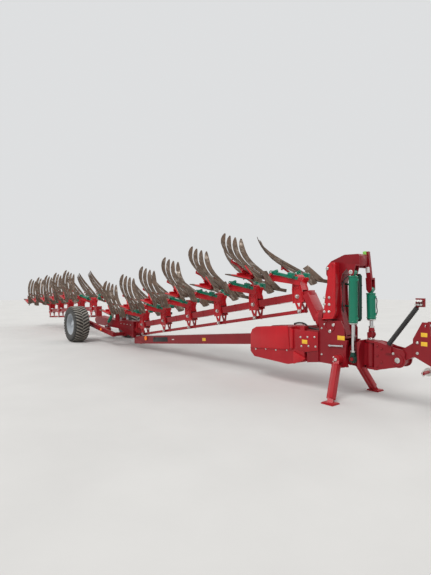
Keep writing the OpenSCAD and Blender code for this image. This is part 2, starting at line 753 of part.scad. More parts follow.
rim_r = 295;
module tyre() {
    color("black")
        translate([wheel_x, track_half, axle_z]) rotate([90, 0, 0])
            rotate_extrude($fn = 96)
                polygon([[rim_r, -tyre_w / 2 + 30], [rim_r + 20, -tyre_w / 2 + 5],
                         [tyre_d / 2 - 70, -tyre_w / 2], [tyre_d / 2 - 15, -tyre_w / 2 + 35],
                         [tyre_d / 2, -tyre_w / 2 + 90], [tyre_d / 2, tyre_w / 2 - 90],
                         [tyre_d / 2 - 15, tyre_w / 2 - 35], [tyre_d / 2 - 70, tyre_w / 2],
                         [rim_r + 20, tyre_w / 2 - 5], [rim_r, tyre_w / 2 - 30]]);
}
module rim() {
    color("gainsboro")
        translate([wheel_x, track_half, axle_z]) rotate([90, 0, 0])
            rotate_extrude($fn = 96)
                polygon([[rim_r - seat, -tyre_w / 2 + 30], [rim_r - seat, tyre_w / 2 - 30],
                         [rim_r - 15, tyre_w / 2 - 30], [rim_r - 25, 40], [200, 10],
                         [120, 10], [100, 60], [45 + fit, 60], [45 + fit, -100], [100, -100],
                         [110, -10], [200, -10], [rim_r - 25, -40],
                         [rim_r - 15, -tyre_w / 2 + 30]]);
}
module left_tyre() {
    place() tyre();
}
module left_rim() {
    place() rim();
}
module right_tyre() {
    place() mirror([0, 1, 0]) tyre();
}
module right_rim() {
    place() mirror([0, 1, 0]) rim();
}

function section_of(i) = i <= front_pairs ? 0 : 1;
function place_of(i) = i <= front_pairs ? i - 1 : i - front_pairs - 1;

main_beam();
service_housing();
beam_flange();
tower();
turnover_guard();
carriage();
front_frame();
front_rod();
rear_frame();
rear_rod();
levelling_ram();
for (i = [1:pairs]) {
    place() pair_stalks(section_of(i), place_of(i));
    place() pair_steel(section_of(i), place_of(i));
}
lift_knuckle();
near_barrel();
near_piston();
far_barrel();
far_piston();
drawbar();
headstock();
right_leg();
left_leg();
wheel_arms();
wheel_ram_barrels();
wheel_ram_rods();
right_tyre();
right_rim();
left_tyre();
left_rim();
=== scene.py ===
"""Looks of a semi-mounted turnover plough, parked upright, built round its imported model."""

import json
import logging
import math
from collections.abc import Callable, Iterable, Iterator
from dataclasses import dataclass
from enum import Enum

import bmesh
import bpy
from mathutils import Matrix, Vector

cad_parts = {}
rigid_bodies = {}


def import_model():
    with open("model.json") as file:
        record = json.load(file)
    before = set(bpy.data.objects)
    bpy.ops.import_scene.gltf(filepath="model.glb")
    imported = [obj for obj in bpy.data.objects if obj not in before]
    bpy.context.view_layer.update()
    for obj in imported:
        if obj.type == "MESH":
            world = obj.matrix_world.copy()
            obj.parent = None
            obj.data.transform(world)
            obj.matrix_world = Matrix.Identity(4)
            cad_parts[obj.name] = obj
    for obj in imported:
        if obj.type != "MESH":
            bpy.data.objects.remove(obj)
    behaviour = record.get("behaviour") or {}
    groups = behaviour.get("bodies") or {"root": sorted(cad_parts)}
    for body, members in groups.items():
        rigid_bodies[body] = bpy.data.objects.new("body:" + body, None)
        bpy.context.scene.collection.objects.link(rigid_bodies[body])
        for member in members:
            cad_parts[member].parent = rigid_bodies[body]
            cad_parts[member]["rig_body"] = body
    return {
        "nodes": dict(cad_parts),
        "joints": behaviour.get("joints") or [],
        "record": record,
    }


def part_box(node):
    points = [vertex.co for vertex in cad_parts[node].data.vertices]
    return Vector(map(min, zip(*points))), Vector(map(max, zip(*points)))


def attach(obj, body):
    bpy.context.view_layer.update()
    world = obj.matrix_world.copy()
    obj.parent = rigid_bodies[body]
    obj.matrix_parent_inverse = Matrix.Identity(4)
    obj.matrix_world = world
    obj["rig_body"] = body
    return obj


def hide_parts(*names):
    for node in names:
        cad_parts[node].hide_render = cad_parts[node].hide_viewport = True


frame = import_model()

log = logging.getLogger("plough")
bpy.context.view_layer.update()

Pair = tuple[float, float]
Triple = tuple[float, float, float]
Outline = tuple[Pair, ...]
Route = tuple[Triple, ...]
Node = bpy.types.Node
Piece = bpy.types.Object
Socket = bpy.types.NodeSocket
Sockets = dict[str, Socket]
Given = bpy.types.NodeOutputs


# The frame: where the plough's own origin lies, and how its pairs are hung

HEADSTOCK_FRONT = 1.300
PLOUGH_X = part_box("headstock")[1].x - HEADSTOCK_FRONT
SET_ANGLE = math.radians(18.6)
HALF_TUBE = 0.060
CHEEK_OUT = 0.083
PIN_END = 0.105
ROD_PIN_END = 0.100
ROD_DROP = 0.235
HEAD_HEIGHT = 0.315
SHARE_POINT = Vector((-0.137, -0.830, 0.210))
ELBOW = SHARE_POINT + Vector((-0.240, 0.520, 0.110))
FORE = Vector((1.0, 0.0, 0.0))
UP = Vector((0.0, 0.0, 1.0))


def at(x: float, y: float, z: float) -> Vector:
    """A point of the plough's own frame, in metres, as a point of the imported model."""
    return Vector((x + PLOUGH_X, y, z))


def leaning(spot: Vector, angle: float = 0.0) -> Matrix:
    """A place at a point, turned about the axis across the plough."""
    return Matrix.Translation(spot) @ Matrix.Rotation(angle, 4, "Y")


class Side(Enum):
    """A side of the plough: the right one is the nearer one in the photograph."""

    RIGHT = -1
    LEFT = 1

    @property
    def word(self) -> str:
        """The side's name, as the nodes and bodies have it."""
        return self.name.lower()

    @property
    def out(self) -> Vector:
        """The direction away from the middle plane."""
        return Vector((0.0, float(self.value), 0.0))

    def at(self, x: float, y: float, z: float) -> Vector:
        """A point on this side, y from the middle plane."""
        return at(x, y * self.value, z)

    def layer(self, inner: float, outer: float) -> Pair:
        """Two distances on this side, the lower one first."""
        return tuple(sorted((inner * self.value, outer * self.value)))


JOINTS = {joint["name"]: joint for joint in frame["joints"]}
FRONT_PAIRS = ["front_width", "width_2", "width_3", "width_4", "width_5", "width_6"]
REAR_PAIRS = ["rear_width", "width_8", "width_9", "width_10", "width_11"]


def pivot(joint: str) -> Vector:
    """Where a joint's axis crosses the middle plane."""
    return Vector(JOINTS[joint]["pos_m"])


def slope_of(joints: list[str]) -> float:
    """How steeply a row of pivots falls towards the rear, in radians."""
    run = pivot(joints[0]) - pivot(joints[-1])
    return math.atan2(run.z, run.x)


# Shader sheets and the effects that the finishes share


def socket_kind(value: object) -> str:
    """The type of group socket that a value or another socket asks for."""
    coloured = isinstance(value, tuple) or getattr(value, "type", "") == "RGBA"
    return "NodeSocketColor" if coloured else "NodeSocketFloat"


class Sheet:
    """A node tree that is being wired."""

    def __init__(self, tree: bpy.types.NodeTree) -> None:
        """Take the tree to wire."""
        self.tree = tree

    def feed(self, node: Node, values: dict) -> Node:
        """Fill in a node's inputs.

        Args:
            node: The node.
            values: Numbers, colours or sockets for its inputs, by name or number.

        Returns:
            The node.
        """
        for key, value in values.items():
            socket = node.inputs[key]
            if isinstance(value, Socket):
                self.tree.links.new(value, socket)
            else:
                socket.default_value = (*value, 1.0) if socket.type == "RGBA" else value
        return node

    def add(self, kind: str, values: dict | None = None, **settings: object) -> Node:
        """Add a node.

        Args:
            kind: The node's type.
            values: What its inputs take.
            settings: Its own properties.

        Returns:
            The new node.
        """
        node = self.tree.nodes.new(kind)
        for name, value in settings.items():
            setattr(node, name, value)
        return self.feed(node, values or {})

    def effect(self, wire: Callable[["Sheet", Given], Sockets], values: dict) -> Node:
        """Add a shared effect, built the first time that it is asked for.

        Args:
            wire: The function that fills it in.
            values: What its inputs take.

        Returns:
            The node that stands for it.
        """
        tree = bpy.data.node_groups.get(wire.__name__)
        if not tree:
            tree = bpy.data.node_groups.new(wire.__name__, "ShaderNodeTree")
            for title, value in values.items():
                tree.interface.new_socket(name=title, in_out="INPUT", socket_type=socket_kind(value))
            inner = Sheet(tree)
            made = wire(inner, inner.add("NodeGroupInput").outputs)
            for title, value in made.items():
                tree.interface.new_socket(name=title, in_out="OUTPUT", socket_type=socket_kind(value))
            inner.add("NodeGroupOutput", made)
        return self.add("ShaderNodeGroup", values, node_tree=tree)

    def place(self) -> Socket:
        """The object's own coordinate."""
        return self.add("ShaderNodeTexCoord").outputs["Object"]

    def math(self, operation: str, a: object, b: object = 0.0, clamp: bool = False) -> Socket:
        """One sum of two values or sockets."""
        return self.add("ShaderNodeMath", {0: a, 1: b}, operation=operation, use_clamp=clamp).outputs[0]

    def times(self, a: object, b: object, clamp: bool = False) -> Socket:
        """The product of two values or sockets."""
        return self.math("MULTIPLY", a, b, clamp)

    def mix(self, share: object, a: object, b: object) -> Socket:
        """Two colours mixed by a share."""
        return self.add("ShaderNodeMix", {0: share, 6: a, 7: b}, data_type="RGBA").outputs[2]

    def spread(self, value: object, low: float, high: float, to_low: float = 0.0,
               to_high: float = 1.0) -> Socket:
        """A value mapped from one range to another, held at both ends."""
        return self.add("ShaderNodeMapRange", {"Value": value, "From Min": low, "From Max": high,
                                               "To Min": to_low, "To Max": to_high}).outputs["Result"]

    def noise(self, where: object, scale: object, detail: float = 4.0, roughness: float = 0.55) -> Socket:
        """A noise's value."""
        return self.add("ShaderNodeTexNoise", {"Vector": where, "Scale": scale, "Detail": detail,
                                               "Roughness": roughness}).outputs[0]

    def stretched(self, where: object, scale: Triple, turn: Triple = (0.0, 0.0, 0.0)) -> Socket:
        """A coordinate, turned and stretched."""
        return self.add("ShaderNodeMapping", {"Vector": where, "Rotation": turn, "Scale": scale}).outputs[0]

    def bumped(self, scale: float, depth: float, strength: float) -> Socket:
        """Unevenness from the shared ripple.

        Args:
            scale: The ripple's grain.
            depth: Its depth in metres.
            strength: How much of it shows.

        Returns:
            The normal's socket.
        """
        height = self.effect(ripple, {"Scale": scale}).outputs[0]
        bump = self.add("ShaderNodeBump", {"Height": height, "Distance": depth, "Strength": strength})
        return bump.outputs["Normal"]


def dust_film(sheet: Sheet, given: Given) -> Sockets:
    """Let dust settle on upward faces and in two sizes of patch.

    Args:
        sheet: The effect's sheet.
        given: Its inputs.

    Returns:
        Its outputs: the colour, and the mask that the dust follows.
    """
    place = sheet.add("ShaderNodeTexCoord").outputs
    up = sheet.add("ShaderNodeSeparateXYZ", {0: place["Normal"]}).outputs["Z"]
    patches = sheet.noise(place["Object"], given["Scale"], 6.0, 0.6)
    grains = sheet.noise(place["Object"], 90.0, 3.0)
    patchy = sheet.times(sheet.spread(patches, 0.36, 0.66), sheet.spread(grains, 0.25, 0.7, 0.6, 1.0))
    level = sheet.spread(up, 0.15, 0.95, 0.12, 1.0)
    mask = sheet.times(sheet.times(level, patchy), given["Amount"], clamp=True)
    return {"Color": sheet.mix(mask, given["Base"], given["Dust"]), "Mask": mask}


def fading(sheet: Sheet, given: Given) -> Sockets:
    """Darken and lighten a painted surface in large clouds and faint runs.

    Args:
        sheet: The effect's sheet.
        given: Its inputs.

    Returns:
        Its output: the colour.
    """
    place = sheet.place()
    clouds = sheet.noise(place, given["Scale"], 3.0)
    runs = sheet.noise(sheet.stretched(place, (9.0, 9.0, 1.2)), 2.0, 4.0)
    cloudy, streaky = sheet.spread(clouds, 0.3, 0.7, 0.0, 0.7), sheet.spread(runs, 0.3, 0.7, 0.0, 0.3)
    share = sheet.math("ADD", cloudy, streaky)
    return {"Color": sheet.mix(share, given["Deep"], given["Base"])}


def ripple(sheet: Sheet, given: Given) -> Sockets:
    """Lay the fine and the broad unevenness of a sprayed or rolled surface over each other.

    Args:
        sheet: The effect's sheet.
        given: Its inputs.

    Returns:
        Its output: the height.
    """
    place = sheet.place()
    fine = sheet.noise(place, given["Scale"], 2.0)
    broad = sheet.noise(place, sheet.times(given["Scale"], 0.12), 3.0)
    return {"Height": sheet.math("ADD", fine, sheet.times(broad, 2.0))}


# Finishes

DUST: Triple = (0.33, 0.29, 0.24)


def shade(colour: Triple, factor: float) -> Triple:
    """A colour, darkened or lightened by a factor."""
    return tuple(factor * part for part in colour)


@dataclass(frozen=True)
class Finish:
    """What every finish has: its name, its main colour and its record slot."""

    name: str
    colour: Triple
    slot: str = ""

    def material(self) -> bpy.types.Material:
        """Make the finish's material the first time that it is asked for.

        Returns:
            The material.
        """
        known = bpy.data.materials.get(f"finish_{self.name}")
        if known:
            return known
        material = bpy.data.materials.new(f"finish_{self.name}")
        material.use_nodes = True
        material.diffuse_color = (*self.colour, 1.0)
        sheet = Sheet(material.node_tree)
        sheet.feed(material.node_tree.nodes["Principled BSDF"], self.dress(sheet))
        return material

    def dress(self, sheet: Sheet) -> dict[str, object]:
        """What the shader's inputs take, wired on the material's sheet."""
        raise NotImplementedError


@dataclass(frozen=True)
class Paint(Finish):
    """Sprayed machine paint under a coat of barn dust."""

    deep: float = 0.74
    gloss: float = 0.34
    dust: float = 0.14
    clouds: float = 1.6
    lacquer: float = 0.12
    shine: float = 0.3

    def dress(self, sheet: Sheet) -> dict[str, object]:
        """Wire faded paint, dust over it and a lacquer coat that the dust dulls.

        Args:
            sheet: The material's sheet.

        Returns:
            What the shader's inputs take.
        """
        deep = shade(self.colour, self.deep)
        faded = sheet.effect(fading, {"Base": self.colour, "Deep": deep, "Scale": self.clouds})
        film = sheet.effect(dust_film, {"Base": faded.outputs[0], "Dust": DUST, "Amount": self.dust,
                                        "Scale": 5.0}).outputs
        return {"Base Color": film["Color"],
                "Roughness": sheet.spread(film["Mask"], 0.0, 0.5, self.gloss, 0.85),
                "Coat Weight": sheet.spread(film["Mask"], 0.0, 0.3, self.lacquer, 0.0),
                "Coat Roughness": 0.12, "Specular IOR Level": self.shine,
                "Normal": sheet.bumped(160.0, 0.0004, 0.25)}


@dataclass(frozen=True)
class SoilSteel(Finish):
    """Mouldboard steel: a brown film of dried soil, rust spots and streaks rubbed bright."""

    bright: Triple = (0.42, 0.37, 0.32)
    rust: Triple = (0.16, 0.065, 0.025)
    rubbed: float = 0.5

    def dress(self, sheet: Sheet) -> dict[str, object]:
        """Wire film, rust and rubbed streaks along the boards.

        Args:
            sheet: The material's sheet.

        Returns:
            What the shader's inputs take.
        """
        place = sheet.place()
        streaks = sheet.noise(sheet.stretched(place, (0.7, 5.0, 3.2), (0.0, 0.5, 0.0)), 3.4, 7.0, 0.62)
        blots = sheet.noise(place, 4.2, 5.0, 0.65)
        specks = sheet.noise(place, 38.0, 4.0, 0.7)
        bare = sheet.times(sheet.spread(streaks, 0.5, 0.66), sheet.spread(blots, 0.42, 0.62))
        bare = sheet.times(bare, self.rubbed * 1.6, clamp=True)
        rusty = sheet.times(sheet.spread(blots, 0.58, 0.4), sheet.spread(specks, 0.48, 0.7))
        film = sheet.mix(sheet.spread(streaks, 0.3, 0.7), shade(self.colour, 0.55), shade(self.colour, 1.25))
        colour = sheet.mix(sheet.times(rusty, 0.75), film, self.rust)
        return {"Base Color": sheet.mix(bare, colour, self.bright),
                "Metallic": sheet.spread(bare, 0.0, 1.0, 0.25, 0.95),
                "Roughness": sheet.spread(bare, 0.0, 1.0, 0.62, 0.3),
                "Normal": sheet.bumped(60.0, 0.0008, 0.5)}


@dataclass(frozen=True)
class Metal(Finish):
    """Bare or plated metal: chromed rods, zinc bolts and pins."""

    gloss: float = 0.12
    smudge: float = 0.25

    def dress(self, sheet: Sheet) -> dict[str, object]:
        """Wire the metal with smudges that dull it in places.

        Args:
            sheet: The material's sheet.

        Returns:
            What the shader's inputs take.
        """
        smears = sheet.noise(sheet.stretched(sheet.place(), (14.0, 14.0, 3.0)), 3.0, 5.0)
        share = sheet.spread(smears, 0.35, 0.7)
        return {"Base Color": sheet.mix(share, self.colour, shade(self.colour, 0.7)),
                "Roughness": sheet.spread(smears, 0.35, 0.7, self.gloss, self.gloss + self.smudge),
                "Metallic": 1.0, "Normal": sheet.bumped(240.0, 0.0002, 0.15)}


@dataclass(frozen=True)
class Rubber(Finish):
    """Tyre or hose rubber, grey with dust where it touches the ground or faces up."""

    dust: float = 0.6
    grain: float = 120.0
    worn: Triple | None = None
    groove: Pair = (0.479, 0.488)

    def dress(self, sheet: Sheet) -> dict[str, object]:
        """Wire black rubber under dust, paler on the tops of the lugs where a tyre has them.

        Args:
            sheet: The material's sheet.

        Returns:
            What the shader's inputs take.
        """
        base = self.colour
        if self.worn:
            axle, place, kind = pivot("left_wheel_spin"), sheet.place(), "ShaderNodeVectorMath"
            arm = sheet.add(kind, {0: place, 1: (axle.x, 0.0, axle.z)}, operation="SUBTRACT")
            flat = sheet.add(kind, {0: arm.outputs[0], 1: (1.0, 0.0, 1.0)}, operation="MULTIPLY")
            reach = sheet.add(kind, {0: flat.outputs[0]}, operation="LENGTH").outputs["Value"]
            patches = sheet.spread(sheet.noise(place, 9.0), 0.3, 0.7, 0.55, 1.0)
            base = sheet.mix(sheet.times(sheet.spread(reach, *self.groove), patches), base, self.worn)
        film = sheet.effect(dust_film, {"Base": base, "Dust": DUST, "Amount": self.dust,
                                        "Scale": 7.0}).outputs
        return {"Base Color": film["Color"], "Roughness": sheet.spread(film["Mask"], 0.0, 1.0, 0.52, 0.9),
                "Normal": sheet.bumped(self.grain, 0.0006, 0.5)}


@dataclass(frozen=True)
class Plastic(Finish):
    """Label film, lamp lens or cap: coloured plastic with a little dirt at its edges."""

    gloss: float = 0.35
    glow: float = 0.0

    def dress(self, sheet: Sheet) -> dict[str, object]:
        """Wire plastic with faint dirt, and a faint painted glow where a lens has one, which stands in for
        light that the unlit lens gives back.

        Args:
            sheet: The material's sheet.

        Returns:
            What the shader's inputs take.
        """
        dirt = sheet.spread(sheet.noise(sheet.place(), 26.0, 5.0), 0.52, 0.8, 0.0, 0.5)
        # Painted light: the emission gives an unlit lens or reflector a faint glow.
        lit = {"Emission Color": self.colour, "Emission Strength": self.glow} if self.glow else {}
        return {"Base Color": sheet.mix(dirt, self.colour, shade(self.colour, 0.6)),
                "Roughness": sheet.spread(dirt, 0.0, 0.5, self.gloss, 0.7),
                "Normal": sheet.bumped(300.0, 0.0002, 0.2), **lit}


RED = Paint("frame_red", (0.42, 0.006, 0.014), "red_paint")
DEEP_RED = Paint("plate_red", (0.27, 0.004, 0.011), "dark_red_paint", dust=0.18)
# The next red is the frame red made lighter: painted highlight on the caps, covers, lips and bolts that face
# the light.
HIGHLIGHT_RED = Paint("cover_red", (0.56, 0.010, 0.018), "bright_red_paint", gloss=0.28, dust=0.08)
RAM_GREEN = Paint("ram_green", (0.003, 0.20, 0.115), "ram_green", gloss=0.22, dust=0.06, lacquer=0.35)
# The next green is the ram green made darker: painted shade for the parts that sit in shadow round the lift
# rams.
PAINTED_SHADE_GREEN = Paint("shade_green", (0.003, 0.045, 0.030), "dark_green", dust=0.1)
RIM_GREY = Paint("rim_grey", (0.50, 0.53, 0.56), "rim_paint", deep=0.85, gloss=0.4, dust=0.2)
BOARD = SoilSteel("board_steel", (0.105, 0.066, 0.042), "board_steel")
ROD = Metal("ram_chrome", (0.72, 0.72, 0.73), "ram_chrome", gloss=0.08, smudge=0.12)
ZINC = Metal("zinc", (0.74, 0.73, 0.70), gloss=0.26)
DARK_STEEL = Metal("dark_steel", (0.10, 0.09, 0.085), gloss=0.42)
TREAD = Rubber("tread_rubber", (0.032, 0.031, 0.029), "tyre_rubber", dust=0.5, worn=(0.27, 0.25, 0.215))
HOSE = Rubber("hose_rubber", (0.014, 0.014, 0.015), dust=0.25, grain=260.0)
YELLOW = Plastic("yellow_film", (0.85, 0.50, 0.03))
WHITE = Plastic("white_film", (0.80, 0.80, 0.78))
BLACK = Plastic("black_film", (0.012, 0.012, 0.014), gloss=0.3)
# The amber lens glows faintly as painted light: the lamps and the reflector of the parked plough are not
# lit.
AMBER = Plastic("amber_lens", (0.85, 0.20, 0.02), gloss=0.15, glow=0.25)
LIME = Plastic("lime_cap", (0.23, 0.60, 0.10))

SLOT_FINISHES = {finish.slot: finish for finish in (
    RED, DEEP_RED, HIGHLIGHT_RED, RAM_GREEN, PAINTED_SHADE_GREEN, RIM_GREY, BOARD, ROD, TREAD)}


def dress_packed_nodes() -> None:
    """Give every carried-over node the finish of its slot in the record."""
    for part in frame["record"]["subparts"]:
        finish = SLOT_FINISHES[part["material_slot"]]
        for slot in frame["nodes"][part["node"]].material_slots:
            slot.material = finish.material()
        log.info("dressed %s in %s", part["node"], finish.name)


# Shapes


def facing(centre: Vector, direction: Vector) -> Matrix:
    """A place at a point with its own Z along a direction."""
    return Matrix.Translation(centre) @ direction.to_track_quat("Z", "X").to_matrix().to_4x4()


class Part:
    """A piece in the making: a mesh that shapes are added to."""

    def __init__(self, name: str, finish: Finish, body: str = "chassis") -> None:
        """Name the piece, its finish and the body that it rides on."""
        self.name, self.finish, self.body = name, finish, body
        self.mesh = bmesh.new()

    def bevel(self, corners: list[bmesh.types.BMVert], width: float) -> None:
        """Bevel the edges that meet at some corners.

        Args:
            corners: The corners.
            width: The width of the bevels.
        """
        edges = list(dict.fromkeys(edge for corner in corners for edge in corner.link_edges))
        bmesh.ops.bevel(self.mesh, geom=edges, offset=width, offset_type="OFFSET", segments=2, profile=0.5,
                        affect="EDGES", material=-1, clamp_overlap=True)

    def block(self, place: Matrix, size: Triple, edge: float) -> None:
        """Add a block at a place, with three sides and the width of its bevels."""
        turned = place @ Matrix.Diagonal((*size, 1.0))
        self.bevel(bmesh.ops.create_cube(self.mesh, size=1.0, matrix=turned)["verts"], edge)

    def bar(self, foot: Vector, top: Vector, width: float, depth: float, edge: float) -> None:
        """Add a square bar between two points.

        Args:
            foot: One end.
            top: The other end.
            width: Its side in the plough's length.
            depth: Its side across the plough.
            edge: The width of its bevels.
        """
        run = top - foot
        flat = run.cross(Side.LEFT.out).normalized()
        turn = Matrix((flat, run.normalized().cross(flat), run.normalized())).transposed().to_4x4()
        self.block(Matrix.Translation((foot + top) / 2) @ turn, (width, depth, run.length), edge)

    def round(self, foot: Vector, top: Vector, radius: float, top_radius: float | None = None,
              sides: int = 28) -> None:
        """Add a round or tapered bar.

        Args:
            foot: One end.
            top: The other end.
            radius: Its radius at the foot.
            top_radius: Its radius at the top, where it tapers.
            sides: The facets round it.
        """
        run = top - foot
        bmesh.ops.create_cone(self.mesh, cap_ends=True, segments=sides, radius1=radius,
                              radius2=radius if top_radius is None else top_radius, depth=run.length,
                              matrix=facing((foot + top) / 2, run))

    def bolt(self, seat: Vector, out: Vector, across: float) -> None:
        """Add a washer and a hexagon head, sunk a hair into the face that they sit on.

        Args:
            seat: The point on the face.
            out: The direction away from the face.
            across: The head's width.
        """
        out = out.normalized()
        sunk = seat - 0.001 * out
        washer = sunk + 0.10 * across * out
        self.round(sunk, washer, 0.66 * across, sides=14)
        self.round(washer - 0.0005 * out, washer + 0.42 * across * out, 0.56 * across, sides=6)
        self.round(washer + 0.41 * across * out, washer + 0.52 * across * out, 0.48 * across, 0.34 * across,
                   12)

    def cap(self, seat: Vector, out: Vector, radius: float, height: float) -> None:
        """Add a pin's round head with a chamfered rim and a grease nipple.

        Args:
            seat: The point on the face.
            out: The direction away from the face.
            radius: The head's radius.
            height: How far it stands out.
        """
        out = out.normalized()
        self.round(seat - 0.001 * out, seat + 0.7 * height * out, radius)
        self.round(seat + 0.69 * height * out, seat + height * out, radius, 0.82 * radius)
        self.round(seat + 0.95 * height * out, seat + 1.4 * height * out, 0.2 * radius, 0.12 * radius, 8)

    def ring(self, centre: Vector, axis: Vector, radius: float, wire: float, sides: int = 36) -> None:
        """Add a round ring, spun from a small circle.

        Args:
            centre: Its middle.
            axis: The direction that it is round about.
            radius: From its middle to its wire's middle.
            wire: The wire's radius.
            sides: The facets round it.
        """
        place = facing(centre, axis)
        upright = Matrix.Translation((radius, 0.0, 0.0)) @ Matrix.Rotation(math.radians(90), 4, "X")
        section = bmesh.ops.create_circle(self.mesh, cap_ends=False, segments=10, radius=wire,
                                          matrix=place @ upright)["verts"]
        edges = list(dict.fromkeys(edge for corner in section for edge in corner.link_edges))
        bmesh.ops.spin(self.mesh, geom=edges, cent=centre, axis=place.to_3x3() @ UP, angle=math.tau,
                       steps=sides, use_merge=True)

    def plate(self, outline: Iterable[Pair], layer: Pair, edge: float) -> None:
        """Add a plate whose outline is drawn in the side plane.

        Args:
            outline: Its corners.
            layer: Its two faces' distances from the middle plane.
            edge: The width of its bevels.
        """
        corners = [self.mesh.verts.new(at(x, layer[0], z)) for x, z in outline]
        pushed = bmesh.ops.extrude_face_region(self.mesh, geom=[self.mesh.faces.new(corners)])["geom"]
        moved = [part for part in pushed if isinstance(part, bmesh.types.BMVert)]
        bmesh.ops.translate(self.mesh, verts=moved, vec=(0.0, layer[1] - layer[0], 0.0))
        self.bevel(corners + moved, edge)

    def pipe(self, route: list[Vector], radius: float) -> None:
        """Add a bent pipe that follows its points smoothly.

        Args:
            route: The points that it passes.
            radius: Half its thickness.
        """
        curve = bpy.data.curves.new(self.name, "CURVE")
        curve.dimensions = "3D"
        curve.bevel_depth = radius
        curve.bevel_resolution = 3
        curve.resolution_u = 8
        curve.use_fill_caps = True
        spline = curve.splines.new("BEZIER")
        spline.bezier_points.add(len(route) - 1)
        for point, spot in zip(spline.bezier_points, route):
            point.co = spot
            point.handle_left_type = point.handle_right_type = "AUTO"
        drawn = bpy.data.objects.new(self.name, curve)
        bpy.context.scene.collection.objects.link(drawn)
        bpy.context.view_layer.update()
        data = bpy.data.meshes.new_from_object(drawn.evaluated_get(bpy.context.evaluated_depsgraph_get()))
        bpy.data.objects.remove(drawn)
        self.mesh.from_mesh(data)
        bpy.data.meshes.remove(data)
        bmesh.ops.remove_doubles(self.mesh, verts=self.mesh.verts, dist=0.0001)

    def piece(self, crease: float = 35.0) -> Piece:
        """Turn the mesh, which is used up, into a piece that rides on its body.

        Args:
            crease: The angle in degrees above which an edge stays sharp.

        Returns:
            The piece.
        """
        bmesh.ops.recalc_face_normals(self.mesh, faces=self.mesh.faces)
        data = bpy.data.meshes.new(self.name)
        self.mesh.to_mesh(data)
        self.mesh.free()
        data.materials.append(self.finish.material())
        data.shade_smooth()
        data.set_sharp_from_angle(angle=math.radians(crease))
        piece = bpy.data.objects.new(self.name, data)
        bpy.context.scene.collection.objects.link(piece)
        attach(piece, self.body)
        return piece


def pieces(*parts: Part) -> Iterator[Piece]:
    """The pieces of several parts, in their order."""
    return (part.piece() for part in parts)


# Sub-assemblies


